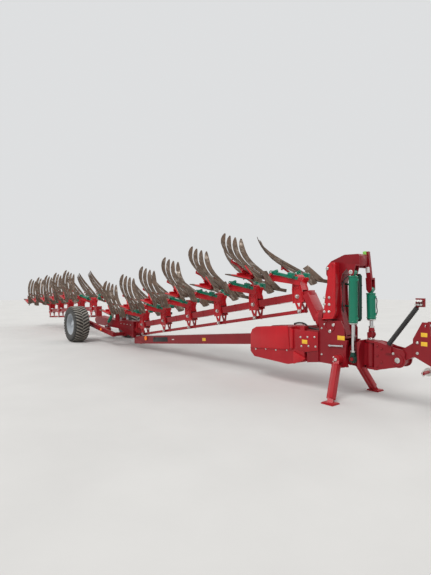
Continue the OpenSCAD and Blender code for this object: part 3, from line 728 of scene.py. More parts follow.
@dataclass
class BodyPair:
    """One bracket with its upper and lower plough body: pins, bolts, skimmer arms and slat bolts."""

    number: int
    joint: str
    slope: float
    pin_radius: float = 0.027
    rod_pin_radius: float = 0.023
    bolt: float = 0.024
    arm: Pair = (0.050, 0.042)
    half_boss: float = 0.044
    slats: int = 4
    stations: Pair = (0.3, 0.5)
    low_edge: Route = (
        (-0.160, 0.097, 0.005), (-0.420, 0.097, 0.180), (-1.450, 0.200, 0.330), (-1.430, 0.400, 0.668))
    high_edge: Route = (
        (-0.230, 0.430, 0.010), (-0.220, 0.470, 0.160), (-0.860, 0.500, 0.130), (-1.090, 0.615, 0.586))
    bow: float = 0.050
    bow_turn: float = math.radians(35)

    def part(self, name: str, finish: Finish) -> Part:
        """Start a piece of this pair."""
        return Part(f"{name}_{self.number}", finish, f"pair_{self.number}")

    def bracket(self) -> Matrix:
        """The bracket's own place: at its pivot, along the frame tube."""
        return leaning(pivot(self.joint), -self.slope)

    def half(self, side: Side) -> Matrix:
        """One body's place: turned from the tube by its working angle, and mirrored to its side."""
        mirror = Matrix.Diagonal((1.0, -float(side.value), 1.0, 1.0))
        return self.bracket() @ Matrix.Rotation(SET_ANGLE, 4, "Y") @ mirror

    def build(self) -> Iterator[Piece]:
        """Make the pair's pieces.

        Yields:
            The bracket's, the skimmers' and the slats' pieces.
        """
        yield from self.bracket_pieces()
        yield from self.skimmer_pieces()
        yield self.slat_bolts()

    def bracket_pieces(self) -> Iterator[Piece]:
        """Make what sits on the bracket.

        Yields:
            The pins' zinc heads over their keepers, the bolts round the cheeks, and the cast cap over the
            head with a rib down each cheek.
        """
        place = self.bracket()
        # The bracket's bolts and the cap on its top take the lightened frame red, which is painted
        # highlight.
        heads, bolts = self.part("pin_heads", ZINC), self.part("bracket_bolts", HIGHLIGHT_RED)
        cap = self.part("head_casting", HIGHLIGHT_RED)
        crown, half_crown = HEAD_HEIGHT - 0.020, 0.081
        cap.round(place @ Vector((0.0, -half_crown, crown)), place @ Vector((0.0, half_crown, crown)), 0.053,
                  sides=40)
        ring_of_five = [math.radians(30 + 72 * k) for k in range(5)]
        spots = [(0.0, 0.235)] + [(0.045 * math.cos(a), 0.165 + 0.045 * math.sin(a)) for a in ring_of_five]
        for side in Side:
            for drop, end, radius in ((0.0, PIN_END, self.pin_radius),
                                      (ROD_DROP, ROD_PIN_END, self.rod_pin_radius)):
                heads.cap(place @ Vector((0.0, end * side.value, -drop)), side.out, radius, 0.012)
                keeper = place @ Vector((0.0, (CHEEK_OUT + 0.004) * side.value, -drop))
                heads.ring(keeper, side.out, 0.030, 0.005)
            for x, z in spots:
                bolts.bolt(place @ Vector((x, CHEEK_OUT * side.value, z)), side.out, self.bolt)
            rib = (CHEEK_OUT + 0.003) * side.value
            for lean in (-1, 1):
                foot = place @ Vector((lean * 0.088, rib, -0.06))
                cap.bar(foot, place @ Vector((lean * 0.052, rib, HEAD_HEIGHT - 0.03)), 0.016, 0.014, 0.004)
        yield from pieces(heads, bolts, cap)

    def skimmer_pieces(self) -> Iterator[Piece]:
        """Make what carries the skimmers.

        Yields:
            The green arms, cast round their inner bars, and the bolts of their clamps.
        """
        arms, bolts = self.part("skimmer_arms", RAM_GREEN), self.part("clamp_bolts", ZINC)
        boss = self.half_boss * Side.LEFT.out
        for side in Side:
            place = self.half(side)
            root, elbow = place @ Vector((0.030, -HALF_TUBE - 0.012, HEAD_HEIGHT - 0.040)), place @ ELBOW
            arms.bar(root.lerp(elbow, 0.12), elbow, *self.arm, 0.008)
            clamp = Matrix.Translation((-0.095, -0.190, HEAD_HEIGHT + 0.002))
            arms.block(place @ clamp, (0.096, 0.076, 0.090), 0.010)
            arms.round(place @ (ELBOW + boss), place @ (ELBOW - boss), 0.032)
            arms.bar(elbow, place @ (ELBOW + Vector((0.075, 0.04, 0.045))), 0.040, 0.034, 0.006)
            up = (place.to_3x3() @ UP).normalized()
            for x in (-0.122, -0.068):
                bolts.bolt(place @ Vector((x, -0.190, HEAD_HEIGHT + 0.047)), up, 0.020)
            for end in (-1, 1):
                bolts.bolt(place @ (ELBOW + end * boss), side.out * -end, 0.026)
        yield from pieces(arms, bolts)

    def edge_point(self, corners: Route, u: float) -> Vector:
        """A point on a cubic edge of the mouldboard."""
        shares = ((1 - u) ** 3, 3 * u * (1 - u) ** 2, 3 * u ** 2 * (1 - u), u ** 3)
        return sum((share * Vector(corner) for share, corner in zip(shares, corners)), Vector())

    def board_point(self, u: float, v: float) -> Vector:
        """Find a point of the worked face.

        Args:
            u: How far it lies from shin to wing.
            v: How far it lies from the lower to the upper edge.

        Returns:
            The point.
        """
        low, high = self.edge_point(self.low_edge, u), self.edge_point(self.high_edge, u)
        bow = self.bow * math.sin(math.radians(150 * u))
        hollow = Vector((math.sin(self.bow_turn), 0.0, math.cos(self.bow_turn)))
        return low.lerp(high, v) - 4 * bow * v * (1 - v) * hollow

    def slat_bolts(self) -> Piece:
        """Make the flush bolts that hold each slat.

        Returns:
            The piece.
        """
        bolts, step = self.part("slat_bolts", DARK_STEEL), 0.01
        for side in Side:
            place = self.half(side) @ Matrix.Translation(SHARE_POINT)
            for u in self.stations:
                for k in range(self.slats):
                    v = (k + 0.5) / self.slats
                    across = self.board_point(u, v + step) - self.board_point(u, v - step)
                    along = self.board_point(u + step, v) - self.board_point(u - step, v)
                    seat = place @ self.board_point(u, v)
                    out = (place.to_3x3() @ across.cross(along)).normalized() * -float(side.value)
                    bolts.round(seat - 0.004 * out, seat + 0.0035 * out, 0.012, 0.008, 12)
        return bolts.piece()


@dataclass
class FlotationWheel:
    """One carriage wheel: a tyre with chevron lugs, and the hub with its nuts."""

    side: Side
    half_width: float = 0.206
    bead: float = 0.2952
    crown: float = 0.474
    top: float = 0.499
    lugs: int = 34
    lug_width: float = 0.040
    lug_depth: float = 0.040
    middle_lap: float = 0.004
    sweep: float = 0.50
    shoulder: float = 0.150
    fall: float = 0.048
    hub_steps: tuple[tuple[float, float, float, float, int], ...] = (
        (0.0, 0.014, 0.092, 0.088, 36), (0.013, 0.034, 0.060, 0.052, 36), (0.033, 0.040, 0.030, 0.022, 24))
    hub_bolts: int = 6
    hub_circle: float = 0.075
    nuts: int = 8
    nut_circle: float = 0.160

    def part(self, name: str, finish: Finish) -> Part:
        """Start a piece of this wheel."""
        return Part(f"{self.side.word}_{name}", finish, f"{self.side.word}_wheel")

    def centre(self) -> Vector:
        """The middle of the wheel."""
        return pivot(f"{self.side.word}_wheel_spin")

    def build(self) -> Iterator[Piece]:
        """Make the tyre and the hub."""
        yield self.tyre()
        yield from self.hub()

    def tyre(self) -> Piece:
        """Spin the carcass from its section and lay the lugs round it.

        Returns:
            The piece.
        """
        tyre, centre, half = self.part("tread_tyre", TREAD), self.centre(), self.half_width
        section = [(self.bead, -half + 0.026), (0.318, -half + 0.004), (0.372, -half),
                   (0.432, -half + 0.006), (0.462, -half + 0.030), (self.crown - 0.004, -half + 0.080),
                   (self.crown, 0.0)]
        section += [(r, -y) for r, y in reversed(section[:-1])] + [(self.bead, 0.0)]
        corners = [tyre.mesh.verts.new(centre + Vector((0.0, y, r))) for r, y in section]
        edges = [tyre.mesh.edges.new(ends) for ends in zip(corners, corners[1:] + corners[:1])]
        bmesh.ops.spin(tyre.mesh, geom=edges, cent=centre, axis=(0.0, 1.0, 0.0), angle=math.tau, steps=96,
                       use_merge=True)
        for half_side in (-1, 1):
            self.add_lugs(tyre.mesh, centre, half_side)
        piece = tyre.piece(crease=40.0)
        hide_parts(f"{self.side.word}_tyre")
        return piece

    def add_lugs(self, mesh: bmesh.types.BMesh, centre: Vector, half_side: int) -> None:
        """Add one half of the tread: a lug bent to the tyre, then copied round it.

        Args:
            mesh: The tyre's mesh.
            centre: The wheel's middle.
            half_side: The sign of the half.
        """
        length = self.half_width + 0.002
        size = Matrix.Diagonal((self.lug_width, length, self.lug_depth, 1.0))
        lug = bmesh.new()
        bmesh.ops.create_cube(lug, size=1.0, matrix=size)
        along = [e for e in lug.edges if abs((e.verts[0].co - e.verts[1].co).y) > length / 2]
        bmesh.ops.subdivide_edges(lug, edges=along, cuts=5)
        shift = 0.5 * half_side * math.pi / self.lugs
        for vert in lug.verts:
            x, y, z = vert.co
            out = y + length / 2 - self.middle_lap
            drop = self.fall * max(0.0, (out - self.shoulder) / (length - self.shoulder)) ** 2
            wide = 1.0 - 0.25 * (z > 0) + 0.25 * out / length
            angle = (x * wide + self.sweep * out) / self.crown + shift
            radius = self.top - self.lug_depth / 2 + z - drop
            vert.co = centre + Vector((radius * math.cos(angle), half_side * out, radius * math.sin(angle)))
        bmesh.ops.spin(lug, geom=[*lug.verts, *lug.edges, *lug.faces], cent=centre, axis=(0.0, 1.0, 0.0),
                       angle=math.tau * (self.lugs - 1) / self.lugs, steps=self.lugs - 1, use_duplicate=True)
        tread = bpy.data.meshes.new("tread")
        lug.to_mesh(tread)
        lug.free()
        mesh.from_mesh(tread)
        bpy.data.meshes.remove(tread)

    def hub(self) -> Iterator[Piece]:
        """Make what shows of the hub.

        Yields:
            The stepped cap outside the rim's disc, and the ring of nuts and studs on the disc.
        """
        cap, nuts, out = self.part("hub_cap", RIM_GREY), self.part("wheel_nuts", ZINC), self.side.out
        face = self.centre() + 0.099 * out
        for low, high, *shape in self.hub_steps:
            cap.round(face + low * out, face + high * out, *shape)
        for k in range(self.hub_bolts):
            turn = Matrix.Rotation(math.tau * k / self.hub_bolts, 3, "Y")
            cap.bolt(face + 0.013 * out + turn @ (self.hub_circle * FORE), out, 0.014)
        for k in range(self.nuts):
            turn = Matrix.Rotation(math.tau * (k + 0.5) / self.nuts, 3, "Y")
            seat = self.centre() + 0.010 * out + turn @ (self.nut_circle * FORE)
            nuts.bolt(seat, out, 0.030)
            nuts.round(seat + 0.014 * out, seat + 0.034 * out, 0.009, sides=10)
        yield from pieces(cap, nuts)


@dataclass
class Label:
    """A blank film on a flat face."""

    name: str
    finish: Finish
    centre: Pair
    size: Pair
    face: float
    body: str = "chassis"
    lean: float = 0.0
    lift: float = 0.0006

    def build(self) -> Piece:
        """Lay the film on its face.

        Returns:
            The film.
        """
        film = Part(self.name, self.finish, self.body)
        x, z = self.centre
        spot = at(x, self.face + math.copysign(self.lift, self.face), z)
        film.block(leaning(spot, self.lean), (self.size[0], 0.0016, self.size[1]), 0.0005)
        return film.piece()


@dataclass
class BoltRow:
    """Bolt heads on one flat face of a body, or on both of its faces."""

    name: str
    spots: Outline
    face: float
    across: float = 0.030
    body: str = "chassis"
    finish: Finish = ZINC
    sides: tuple[Side, ...] = (Side.RIGHT, Side.LEFT)

    def build(self) -> Piece:
        """Screw the bolts into their faces.

        Returns:
            The bolt heads, as one piece.
        """
        bolts = Part(self.name, self.finish, self.body)
        for side in self.sides:
            for x, z in self.spots:
                bolts.bolt(side.at(x, self.face, z), side.out, self.across)
        return bolts.piece()


@dataclass
class MainBeam:
    """The low beam between tower and carriage, with its films and reflector."""

    half_width: float = 0.090
    reflector_at: Pair = (-5.602, 0.290)
    lean: float = -math.atan2(0.716 - 0.281, 6.148 - 1.970)

    def build(self) -> Iterator[Piece]:
        """Make the beam's pieces.

        Yields:
            Its three films, and the round amber reflector with its rim at its rear end.
        """
        for word, finish, centre, size in (("yellow", YELLOW, (-3.288, 0.482), (0.110, 0.060)),
                                           ("black", BLACK, (-4.960, 0.318), (0.640, 0.105)),
                                           ("white", WHITE, (-4.421, 0.371), (0.090, 0.018))):
            yield Label(f"beam_{word}_label", finish, centre, size, -self.half_width, lean=self.lean).build()
        # The reflector's faint glow is painted light.
        lens, out = Part("beam_reflector", AMBER), Side.RIGHT.out
        x, z = self.reflector_at
        seat = at(x, -self.half_width - 0.013, z)
        lens.round(seat, seat + 0.012 * out, 0.052, 0.048, 32)
        lens.ring(seat + 0.010 * out, out, 0.050, 0.006)
        lens.round(seat + 0.012 * out, seat + 0.018 * out, 0.044, 0.020, 32)
        yield lens.piece()


@dataclass
class ServiceHousing:
    """The covered box at the front of the beam: covers, seam, bolts, film and the pipe over the flange."""

    half_width: float = 0.195
    flange: float = 0.199
    seam: tuple[Pair, Pair] = ((-1.833, 0.500), (-0.900, 0.572))
    seam_bolts: Outline = ((-1.704, 0.484), (-1.470, 0.511), (-1.248, 0.521), (-1.017, 0.548))
    flange_bolts: Outline = (
        (-0.744, 0.778), (-0.612, 0.790), (-0.484, 0.802), (-0.725, 0.643), (-0.593, 0.658), (-0.467, 0.663))
    cover: Outline = (
        (-1.790, 0.818), (-1.690, 0.866), (-1.480, 0.890), (-1.000, 0.930), (-0.960, 0.590),
        (-1.000, 0.555), (-1.828, 0.497), (-1.828, 0.738))
    strip: Outline = ((-0.945, 0.905), (-0.885, 0.885), (-0.885, 0.580), (-0.945, 0.590))
    gusset: Outline = ((-0.876, 0.550), (-0.640, 0.470), (-0.700, 0.420), (-0.876, 0.352))
    flange_plate: Outline = (
        (-0.890, 0.885), (-0.440, 0.880), (-0.427, 0.860), (-0.427, 0.610), (-0.640, 0.560), (-0.890, 0.590))
    line: Route = (
        (-0.980, -0.060, 0.955), (-0.900, -0.070, 0.975), (-0.780, -0.080, 0.975), (-0.660, -0.090, 0.925),
        (-0.520, -0.100, 0.905), (-0.445, -0.100, 0.900))

    def build(self) -> Iterator[Piece]:
        """Make the housing's pieces.

        Yields:
            Its bolts and film, the covers with strip and gusset, the plates that carry the bolts between
            the housing and the tower, the folded seam, and the pipe over the flange.
        """
        yield BoltRow("housing_seam_bolts", self.seam_bolts, self.half_width, 0.022).build()
        yield BoltRow("flange_bolts", self.flange_bolts, self.flange, 0.024).build()
        yield Label("flange_yellow_label", YELLOW, (-0.668, 0.714), (0.100, 0.060), -self.flange).build()
        # The covers take the lightened frame red, which is painted highlight.
        covers, plates = Part("housing_covers", HIGHLIGHT_RED), Part("flange_plates", RED)
        seam, pipe = Part("housing_seam", RED), Part("flange_pipe", HOSE)
        face = self.half_width - 0.002
        for side in Side:
            covers.plate(self.cover, side.layer(face, face + 0.010), 0.004)
            covers.plate(self.strip, side.layer(face, face + 0.026), 0.010)
            covers.plate(self.gusset, side.layer(face, face + 0.026), 0.012)
            plates.plate(self.flange_plate, side.layer(self.flange - 0.010, self.flange), 0.003)
            ends = [side.at(x, self.half_width + 0.004, z) for x, z in self.seam]
            seam.bar(*ends, 0.014, 0.016, 0.003)
        pipe.pipe([at(*spot) for spot in self.line], 0.014)
        for part, crease in ((covers, 25.0), (plates, 25.0), (seam, 35.0), (pipe, 35.0)):
            yield part.piece(crease)


@dataclass
class Tower:
    """The tower with its goose neck: guard, pins, film, gauge bar, cylinder, marker post and lines."""

    cheek: float = 0.170
    guard: float = 0.190
    guard_bolts: Outline = (
        (-0.319, 1.385), (-0.236, 1.386), (-0.319, 1.290), (-0.236, 1.288), (-0.319, 1.184), (-0.240, 1.186))
    guard_edge: Outline = (
        (-0.150, 1.840), (-0.190, 1.876), (-0.145, 1.880), (-0.118, 1.850), (-0.118, 1.180),
        (-0.150, 1.100), (-0.175, 1.100))
    guard_foot: Outline = ((-0.340, 1.072), (-0.330, 1.092), (-0.150, 1.112), (-0.160, 1.090))
    neck_rim: Outline = (
        (-0.270, 1.905), (-0.056, 1.985), (0.155, 1.985), (0.176, 1.962), (0.176, 1.830))
    neck_inner: Outline = (
        (0.150, 1.803), (0.060, 1.822), (-0.022, 1.797), (-0.094, 1.724), (-0.124, 1.600))
    leg_pin: Pair = (-0.085, 0.530)
    hinge: Pair = (-0.137, 0.535)
    marker_lean: float = math.radians(-6.4)
    pipe: Route = (
        (-0.060, -0.105, 1.180), (-0.085, -0.108, 1.330), (-0.080, -0.112, 1.520), (-0.040, -0.118, 1.640),
        (0.030, -0.122, 1.690))
    hoop: Route = (
        (-0.110, -0.100, 1.260), (-0.070, -0.150, 1.300), (-0.055, -0.160, 1.400), (-0.070, -0.150, 1.500),
        (-0.100, -0.100, 1.540))

    def build(self) -> Iterator[Piece]:
        """Make the tower's pieces.

        Yields:
            Its bolts and film, its plates, its fittings, the marker's pieces and the lines.
        """
        yield BoltRow("guard_bolts", self.guard_bolts, self.guard, sides=(Side.RIGHT,)).build()
        yield Label("tower_yellow_label", YELLOW, (-0.058, 0.826), (0.115, 0.060), -self.cheek).build()
        yield from self.plates()
        yield from self.fittings()
        yield from self.marker()
        yield from self.lines()

    def plates(self) -> Iterator[Piece]:
        """Make the welded and folded plates.

        Yields:
            The guard's folded front edge and foot, the flat bars round the goose neck, and the half-moon
            flange and bosses on the cheeks.
        """
        # The guard's lip takes the lightened frame red, painted highlight where the fold faces the light.
        lip, neck, cheeks = (Part("guard_lip", HIGHLIGHT_RED), Part("neck_flanges", DEEP_RED),
                             Part("cheek_bosses", DEEP_RED))
        layer = (-self.guard - 0.034, -self.guard + 0.002)
        lip.plate(self.guard_edge, layer, 0.006)
        lip.plate(self.guard_foot, layer, 0.005)
        for line, thick, edge in ((self.neck_rim, 0.012, 0.003), (self.neck_inner, 0.010, 0.002)):
            for (x0, z0), (x1, z1) in zip(line, line[1:]):
                neck.bar(at(x0, 0.0, z0), at(x1, 0.0, z1), thick, 0.150, edge)
        for side in Side:
            cheeks.ring(side.at(-0.240, self.cheek + 0.001, 0.985), side.out, 0.078, 0.011)
            seat = side.at(self.leg_pin[0], self.cheek, self.leg_pin[1])
            cheeks.round(seat - 0.002 * side.out, seat + 0.006 * side.out, 0.082, 0.076, 36)
            pin = side.at(self.hinge[0], self.cheek + 0.001, self.hinge[1])
            cheeks.round(pin, pin + 0.012 * side.out, 0.044, 0.040, 32)
        yield from pieces(lip, neck, cheeks)

    def fittings(self) -> Iterator[Piece]:
        """Make what is fixed to the cheeks and the neck.

        Yields:
            The zinc heads of the pins, the bright gauge bar in its two clips, and the cylinder between the
            lift rams, on its brackets, in ram green darkened as painted shade.
        """
        pins, gauge, cylinder = (Part("tower_pins", ZINC), Part("gauge_bar", ROD),
                                 Part("accumulator", PAINTED_SHADE_GREEN))
        for x, face, z in ((-0.268, self.guard, 1.800), (-0.238, self.cheek, 0.905),
                           (-0.180, self.cheek, 1.000)):
            pins.cap(at(x, -face, z), Side.RIGHT.out, 0.024, 0.014)
        for side in Side:
            pins.bolt(side.at(self.hinge[0], self.cheek + 0.013, self.hinge[1]), side.out, 0.034)
            pins.cap(side.at(self.leg_pin[0], 0.263, self.leg_pin[1]), side.out, 0.024, 0.010)
            for x, z in ((-0.380, 0.940), (-0.330, 1.000), (-0.380, 0.560)):
                pins.bolt(side.at(x, self.cheek, z), side.out, 0.022)
        pins.cap(at(0.120, -0.206, 1.738), Side.RIGHT.out, 0.030, 0.012)
        pins.cap(at(0.205, 0.200, 1.500), Side.LEFT.out, 0.028, 0.012)
        rear, fore = at(-0.253, -self.cheek - 0.015, 0.702), at(-0.012, -self.cheek - 0.015, 0.717)
        gauge.round(rear, fore, 0.012)
        for share in (0.08, 0.92):
            clip = rear.lerp(fore, share) + Vector((0.0, 0.008, 0.0))
            gauge.block(leaning(clip), (0.020, 0.020, 0.034), 0.004)
        foot, top, radius = at(0.105, 0.020, 1.090), at(0.105, 0.020, 1.690), 0.038
        cylinder.round(foot, top, radius)
        cylinder.round(top - 0.001 * UP, top + 0.030 * UP, radius, 0.018)
        cylinder.round(foot + 0.001 * UP, foot - 0.030 * UP, radius, 0.016)
        for z in (1.250, 1.560):
            cylinder.ring(at(0.105, 0.020, z), UP, 0.039, 0.006)
            cylinder.bar(at(0.075, 0.020, z), at(-0.112, 0.020, z + 0.02), 0.026, 0.040, 0.004)
        yield from pieces(pins, gauge, cylinder)

    def marker(self) -> Iterator[Piece]:
        """Dress the marker post beside the far ram.

        Yields:
            The blank white film on it, and the lime cap on its top.
        """
        for name, finish, spot, size, edge in (
                ("marker_white_label", WHITE, (0.176, 0.1240, 1.775), (0.054, 0.002, 0.080), 0.0006),
                ("marker_cap", LIME, (0.128, 0.138, 1.992), (0.052, 0.054, 0.094), 0.014)):
            part = Part(name, finish)
            part.block(leaning(at(*spot), self.marker_lean), size, edge)
            yield part.piece()

    def lines(self) -> Iterator[Piece]:
        """Bend the lines on the neck.

        Yields:
            The pipe that runs up to the near ram, and the wire hoop that keeps hoses off the neck.
        """
        for name, finish, route, radius in (("neck_pipe", HOSE, self.pipe, 0.008),
                                            ("hose_hoop", RED, self.hoop, 0.006)):
            part = Part(name, finish)
            part.pipe([at(*spot) for spot in route], radius)
            yield part.piece()


@dataclass
class LiftRam:
    """One lift ram: gland, ports and pipe on its barrel, and the clevis at its rod's eye."""

    name: str
    top: Vector
    eye: Vector
    radius: float
    rod: float
    shoulder: float
    gland: float
    clevis: Finish

    def along(self, distance: float) -> Vector:
        """A point on the ram's axis, from its upper eye."""
        return self.top + distance * (self.eye - self.top).normalized()

    def build(self) -> Iterator[Piece]:
        """Make the barrel's and then the rod's pieces."""
        yield from self.barrel()
        yield from self.rod_end()

    def barrel(self) -> Iterator[Piece]:
        """Make what is on the barrel.

        Yields:
            The plated gland nut round the rod, the welded collars with the port blocks, and the steel
            pipe between the ports.
        """
        gland, collars, pipe = (Part(f"{self.name}_{word}", finish, f"{self.name}_barrel")
                                for word, finish in (("gland", ZINC), ("collars", RAM_GREEN),
                                                     ("pipe", DARK_STEEL)))
        axis = (self.eye - self.top).normalized()
        wall = self.radius - self.rod - 0.003
        gland.ring(self.along(self.gland + 0.004), axis, self.rod + 0.003 + wall / 2, wall / 2)
        for distance in (self.shoulder + 0.012, self.gland - 0.020):
            collars.ring(self.along(distance), axis, self.radius, 0.007)
        ports = [self.along(distance) for distance in (self.shoulder + 0.060, self.gland - 0.070)]
        for port in ports:
            collars.block(leaning(port + self.radius * FORE), (0.030, 0.034, 0.038), 0.004)
        off = (self.radius + 0.021) * FORE
        middle = [ports[0].lerp(ports[1], share) + off for share in (0.06, 0.5, 0.94)]
        pipe.pipe([ports[0] + off * 0.8, *middle, ports[1] + off * 0.8], 0.007)
        yield from pieces(gland, collars, pipe)

    def rod_end(self) -> Iterator[Piece]:
        """Make what is on the rod.

        Yields:
            The cast eye that covers the rod's end, and the plated lock nut over it.
        """
        clevis, nut = (Part(f"{self.name}_{word}", finish, f"{self.name}_piston")
                       for word, finish in (("clevis", self.clevis), ("lock_nut", ZINC)))
        reach = (self.top - self.eye).normalized()
        for end in (-1, 1):
            clevis.ring(self.eye + Vector((0.0, end * 0.029, 0.0)), Side.LEFT.out, 0.037, 0.009)
        clevis.ring(self.eye, Side.LEFT.out, 0.046, 0.012)
        foot = self.eye + 0.044 * reach
        clevis.round(foot, foot + 0.050 * reach, self.rod + 0.018, self.rod + 0.008)
        foot = self.eye + 0.093 * reach
        nut.round(foot, foot + 0.022 * reach, self.rod + 0.013, sides=6)
        yield from pieces(clevis, nut)


@dataclass
class Drawbar:
    """Drawbar and headstock: bolts, collars, blank films, hose arm sleeve and couplings."""

    cheek: float = 0.095
    ear: float = 0.089
    hinge: Pair = (0.715, 0.612)
    bolts: Outline = (
        (0.440, 0.765), (0.500, 0.735), (0.440, 0.640), (0.500, 0.560), (0.440, 0.500))
    ear_bolts: Outline = ((0.955, 0.860), (0.955, 0.730), (1.180, 0.690))
    arm_foot: Triple = (0.612, -0.126, 0.806)
    arm_top: Triple = (0.968, -0.126, 1.287)
    ribs: int = 26
    coupling_x: Triple = (0.970, 1.000, 1.030)

    def build(self) -> Iterator[Piece]:
        """Make the pieces of the hitch end.

        Yields:
            Its bolts and films, and the pieces of the hinge, the hose arm and the pins.
        """
        yield BoltRow("drawbar_bolts", self.bolts, self.cheek, 0.024, "drawbar", DEEP_RED).build()
        yield BoltRow("headstock_bolts", self.ear_bolts, self.ear, 0.026, "headstock").build()
        for word, z in (("upper", 0.960), ("lower", 0.850)):
            yield Label(f"headstock_{word}_label", YELLOW, (1.035, z), (0.075, 0.050), -self.ear,
                        "headstock").build()
        yield from self.hinge_pieces()
        yield from self.hose_arm()
        yield from self.pin_ends()

    def hinge_pieces(self) -> Iterator[Piece]:
        """Make what shows of the headstock's hinge.

        Yields:
            The raised collars round its pin, and the pin's ends with their lock bolts.
        """
        collars, pins = Part("hinge_collars", DEEP_RED, "drawbar"), Part("hinge_pins", ZINC, "drawbar")
        x, z = self.hinge
        for side in Side:
            seat = side.at(x, self.cheek - 0.001, z)
            collars.round(seat, seat + 0.010 * side.out, 0.072, 0.068, 40)
            collars.ring(seat + 0.008 * side.out, side.out, 0.066, 0.006)
            pins.cap(side.at(x, 0.104, z), side.out, 0.034, 0.012)
            pins.bolt(side.at(0.655, 0.094, 0.690), side.out, 0.026)
        yield from pieces(collars, pins)

    def hose_arm(self) -> Iterator[Piece]:
        """Make what is on the hose arm.

        Yields:
            The ribbed black sleeve round the hoses, the plated couplings in their plate, and the caps on
            the upper ones.
        """
        sleeve, couplings, caps = (Part(name, finish, "drawbar") for name, finish in (
            ("hose_sleeve", HOSE), ("hose_couplings", ZINC), ("coupling_caps", WHITE)))
        foot, top, out = at(*self.arm_foot), at(*self.arm_top), Side.RIGHT.out
        run, radius = top - foot, 0.027
        sleeve.round(foot, top, radius, sides=24)
        for k in range(self.ribs):
            sleeve.ring(foot + run * (k + 0.5) / self.ribs, run, radius, 0.0045, 20)
        for x in self.coupling_x:
            for z in (1.325, 1.370):
                seat = at(x, -0.118, z)
                couplings.round(seat, seat + 0.022 * out, 0.0138, sides=6)
                couplings.round(seat + 0.040 * out, seat + 0.054 * out, 0.0136, 0.012, 16)
            seat = at(x, -0.170, 1.370)
            caps.round(seat, seat + 0.016 * out, 0.0150, 0.0125, 20)
        yield from pieces(sleeve, couplings, caps)

    def pin_ends(self) -> Iterator[Piece]:
        """Make what shows of the hitch's and the steering's pins.

        Yields:
            The shoulders and linch-pin rings of the cross shaft, and the cap over the steering pin.
        """
        shoulders, cap = Part("hitch_shoulders", ZINC, "headstock"), Part("steering_cap", ZINC, "drawbar")
        for side in Side:
            seat = side.at(1.250, 0.4825, 0.600)
            shoulders.round(seat - 0.020 * side.out, seat + 0.001 * side.out, 0.046, sides=36)
            shoulders.ring(seat + 0.108 * side.out, FORE, 0.030, 0.004)
        cap.cap(at(0.300, 0.0, 0.830), UP, 0.046, 0.016)
        yield from pieces(shoulders, cap)


@dataclass
class ParkingLeg:
    """One parking leg: its boxed sleeve, foot and lock pin."""

    side: Side
    hinge: Triple = (-0.085, 0.218, 0.530)
    ground: Pair = (0.040, 0.560)
    foot_z: float = 0.017

    def build(self) -> Iterator[Piece]:
        """Make the leg's pieces.

        Yields:
            The sleeve with its collar and the foot's upper plate, and the bolts of the lock pin.
        """
        sleeve, bolts = (Part(f"{self.side.word}_leg_{word}", finish, f"{self.side.word}_leg")
                         for word, finish in (("sleeve", RED), ("bolts", ZINC)))
        hinge, ground = self.side.at(*self.hinge), self.side.at(*self.ground, 0.0)
        sleeve.block(leaning(self.side.at(*self.ground, self.foot_z)), (0.168, 0.148, 0.010), 0.003)
        sleeve.bar(hinge.lerp(ground, 0.13), hinge.lerp(ground, 0.90), 0.096, 0.086, 0.008)
        sleeve.bar(hinge.lerp(ground, 0.13), hinge.lerp(ground, 0.17), 0.104, 0.094, 0.006)
        for z in (0.500, 0.560):
            bolts.bolt(self.side.at(-0.118, 0.260, z), self.side.out, 0.018)
        yield from pieces(sleeve, bolts)


@dataclass
class Carriage:
    """The wheel carriage: bolts on its plates and arms, amber lamps and pin ends."""

    edge_x: float = -6.148
    plate: float = 0.102
    box: float = 0.130
    lamp: Pair = (-7.388, 0.388)

    def build(self) -> Iterator[Piece]:
        """Make the carriage's pieces.

        Yields:
            Its bolts, the lamps on the trailing arms, the lamps' rims with the bolts of the arms, and the
            pin ends of the arm pivot and the wheel rams.
        """
        low = tuple((self.edge_x + 0.08 + 0.07 * k, 0.300 + 0.012 * k) for k in range(3))
        high = tuple((self.edge_x - 0.20 - 0.18 * k, 0.560) for k in range(4))
        yield BoltRow("carriage_bolts", low, self.plate, 0.022).build()
        yield BoltRow("carriage_box_bolts", high, self.box, 0.026).build()
        lamps, rims = Part("arm_lamps", AMBER, "wheel_arms"), Part("arm_bolts", HIGHLIGHT_RED, "wheel_arms")
        pins = Part("carriage_pins", ZINC)
        for side in Side:
            seat = side.at(self.lamp[0], 0.476, self.lamp[1])
            lamps.round(seat, seat + 0.020 * side.out, 0.036, 0.031, 28)
            rims.ring(side.at(self.lamp[0], 0.477, self.lamp[1]), side.out, 0.038, 0.008)
            for k in range(4):
                rims.bolt(side.at(-6.900 - 0.22 * k, 0.475, 0.315 + 0.030 * k), side.out, 0.026)
            pins.cap(side.at(self.edge_x - 0.600, 0.430, 0.300), side.out, 0.050, 0.014)
            pins.cap(side.at(self.edge_x - 1.050, 0.260, 0.850), side.out, 0.026, 0.012)
        yield from pieces(lamps, rims, pins)


@dataclass
class FrameTube:
    """One plough frame: its end cap, and the bands between its pairs."""

    name: str
    joints: list[str]
    body: str
    lead: float
    brace: Outline = ()

    def build(self) -> Iterator[Piece]:
        """Make the tube's bands.

        Yields:
            The bands with the end cap, and the plate along the brace where there is one.
        """
        bands = Part(f"{self.name}_bands", RED, self.body)
        first, second, last = (pivot(self.joints[k]) for k in (0, 1, -1))
        run, lean = (first - last).normalized(), -slope_of(self.joints)
        for joint in self.joints[:-1]:
            seat = pivot(joint) - 0.5 * run * (first - second).length
            bands.block(leaning(seat, lean), (0.050, 0.126, 0.126), 0.004)
        if self.brace:
            foot, top = (at(x, 0.0, z) for x, z in self.brace)
            off = 0.047 * (top - foot).normalized().cross(Side.RIGHT.out)
            bands.bar(foot + off, top + off, 0.012, 0.216, 0.005)
        bands.block(leaning(first + self.lead * run, lean), (0.012, 0.130, 0.130), 0.004)
        yield bands.piece()


# Studio


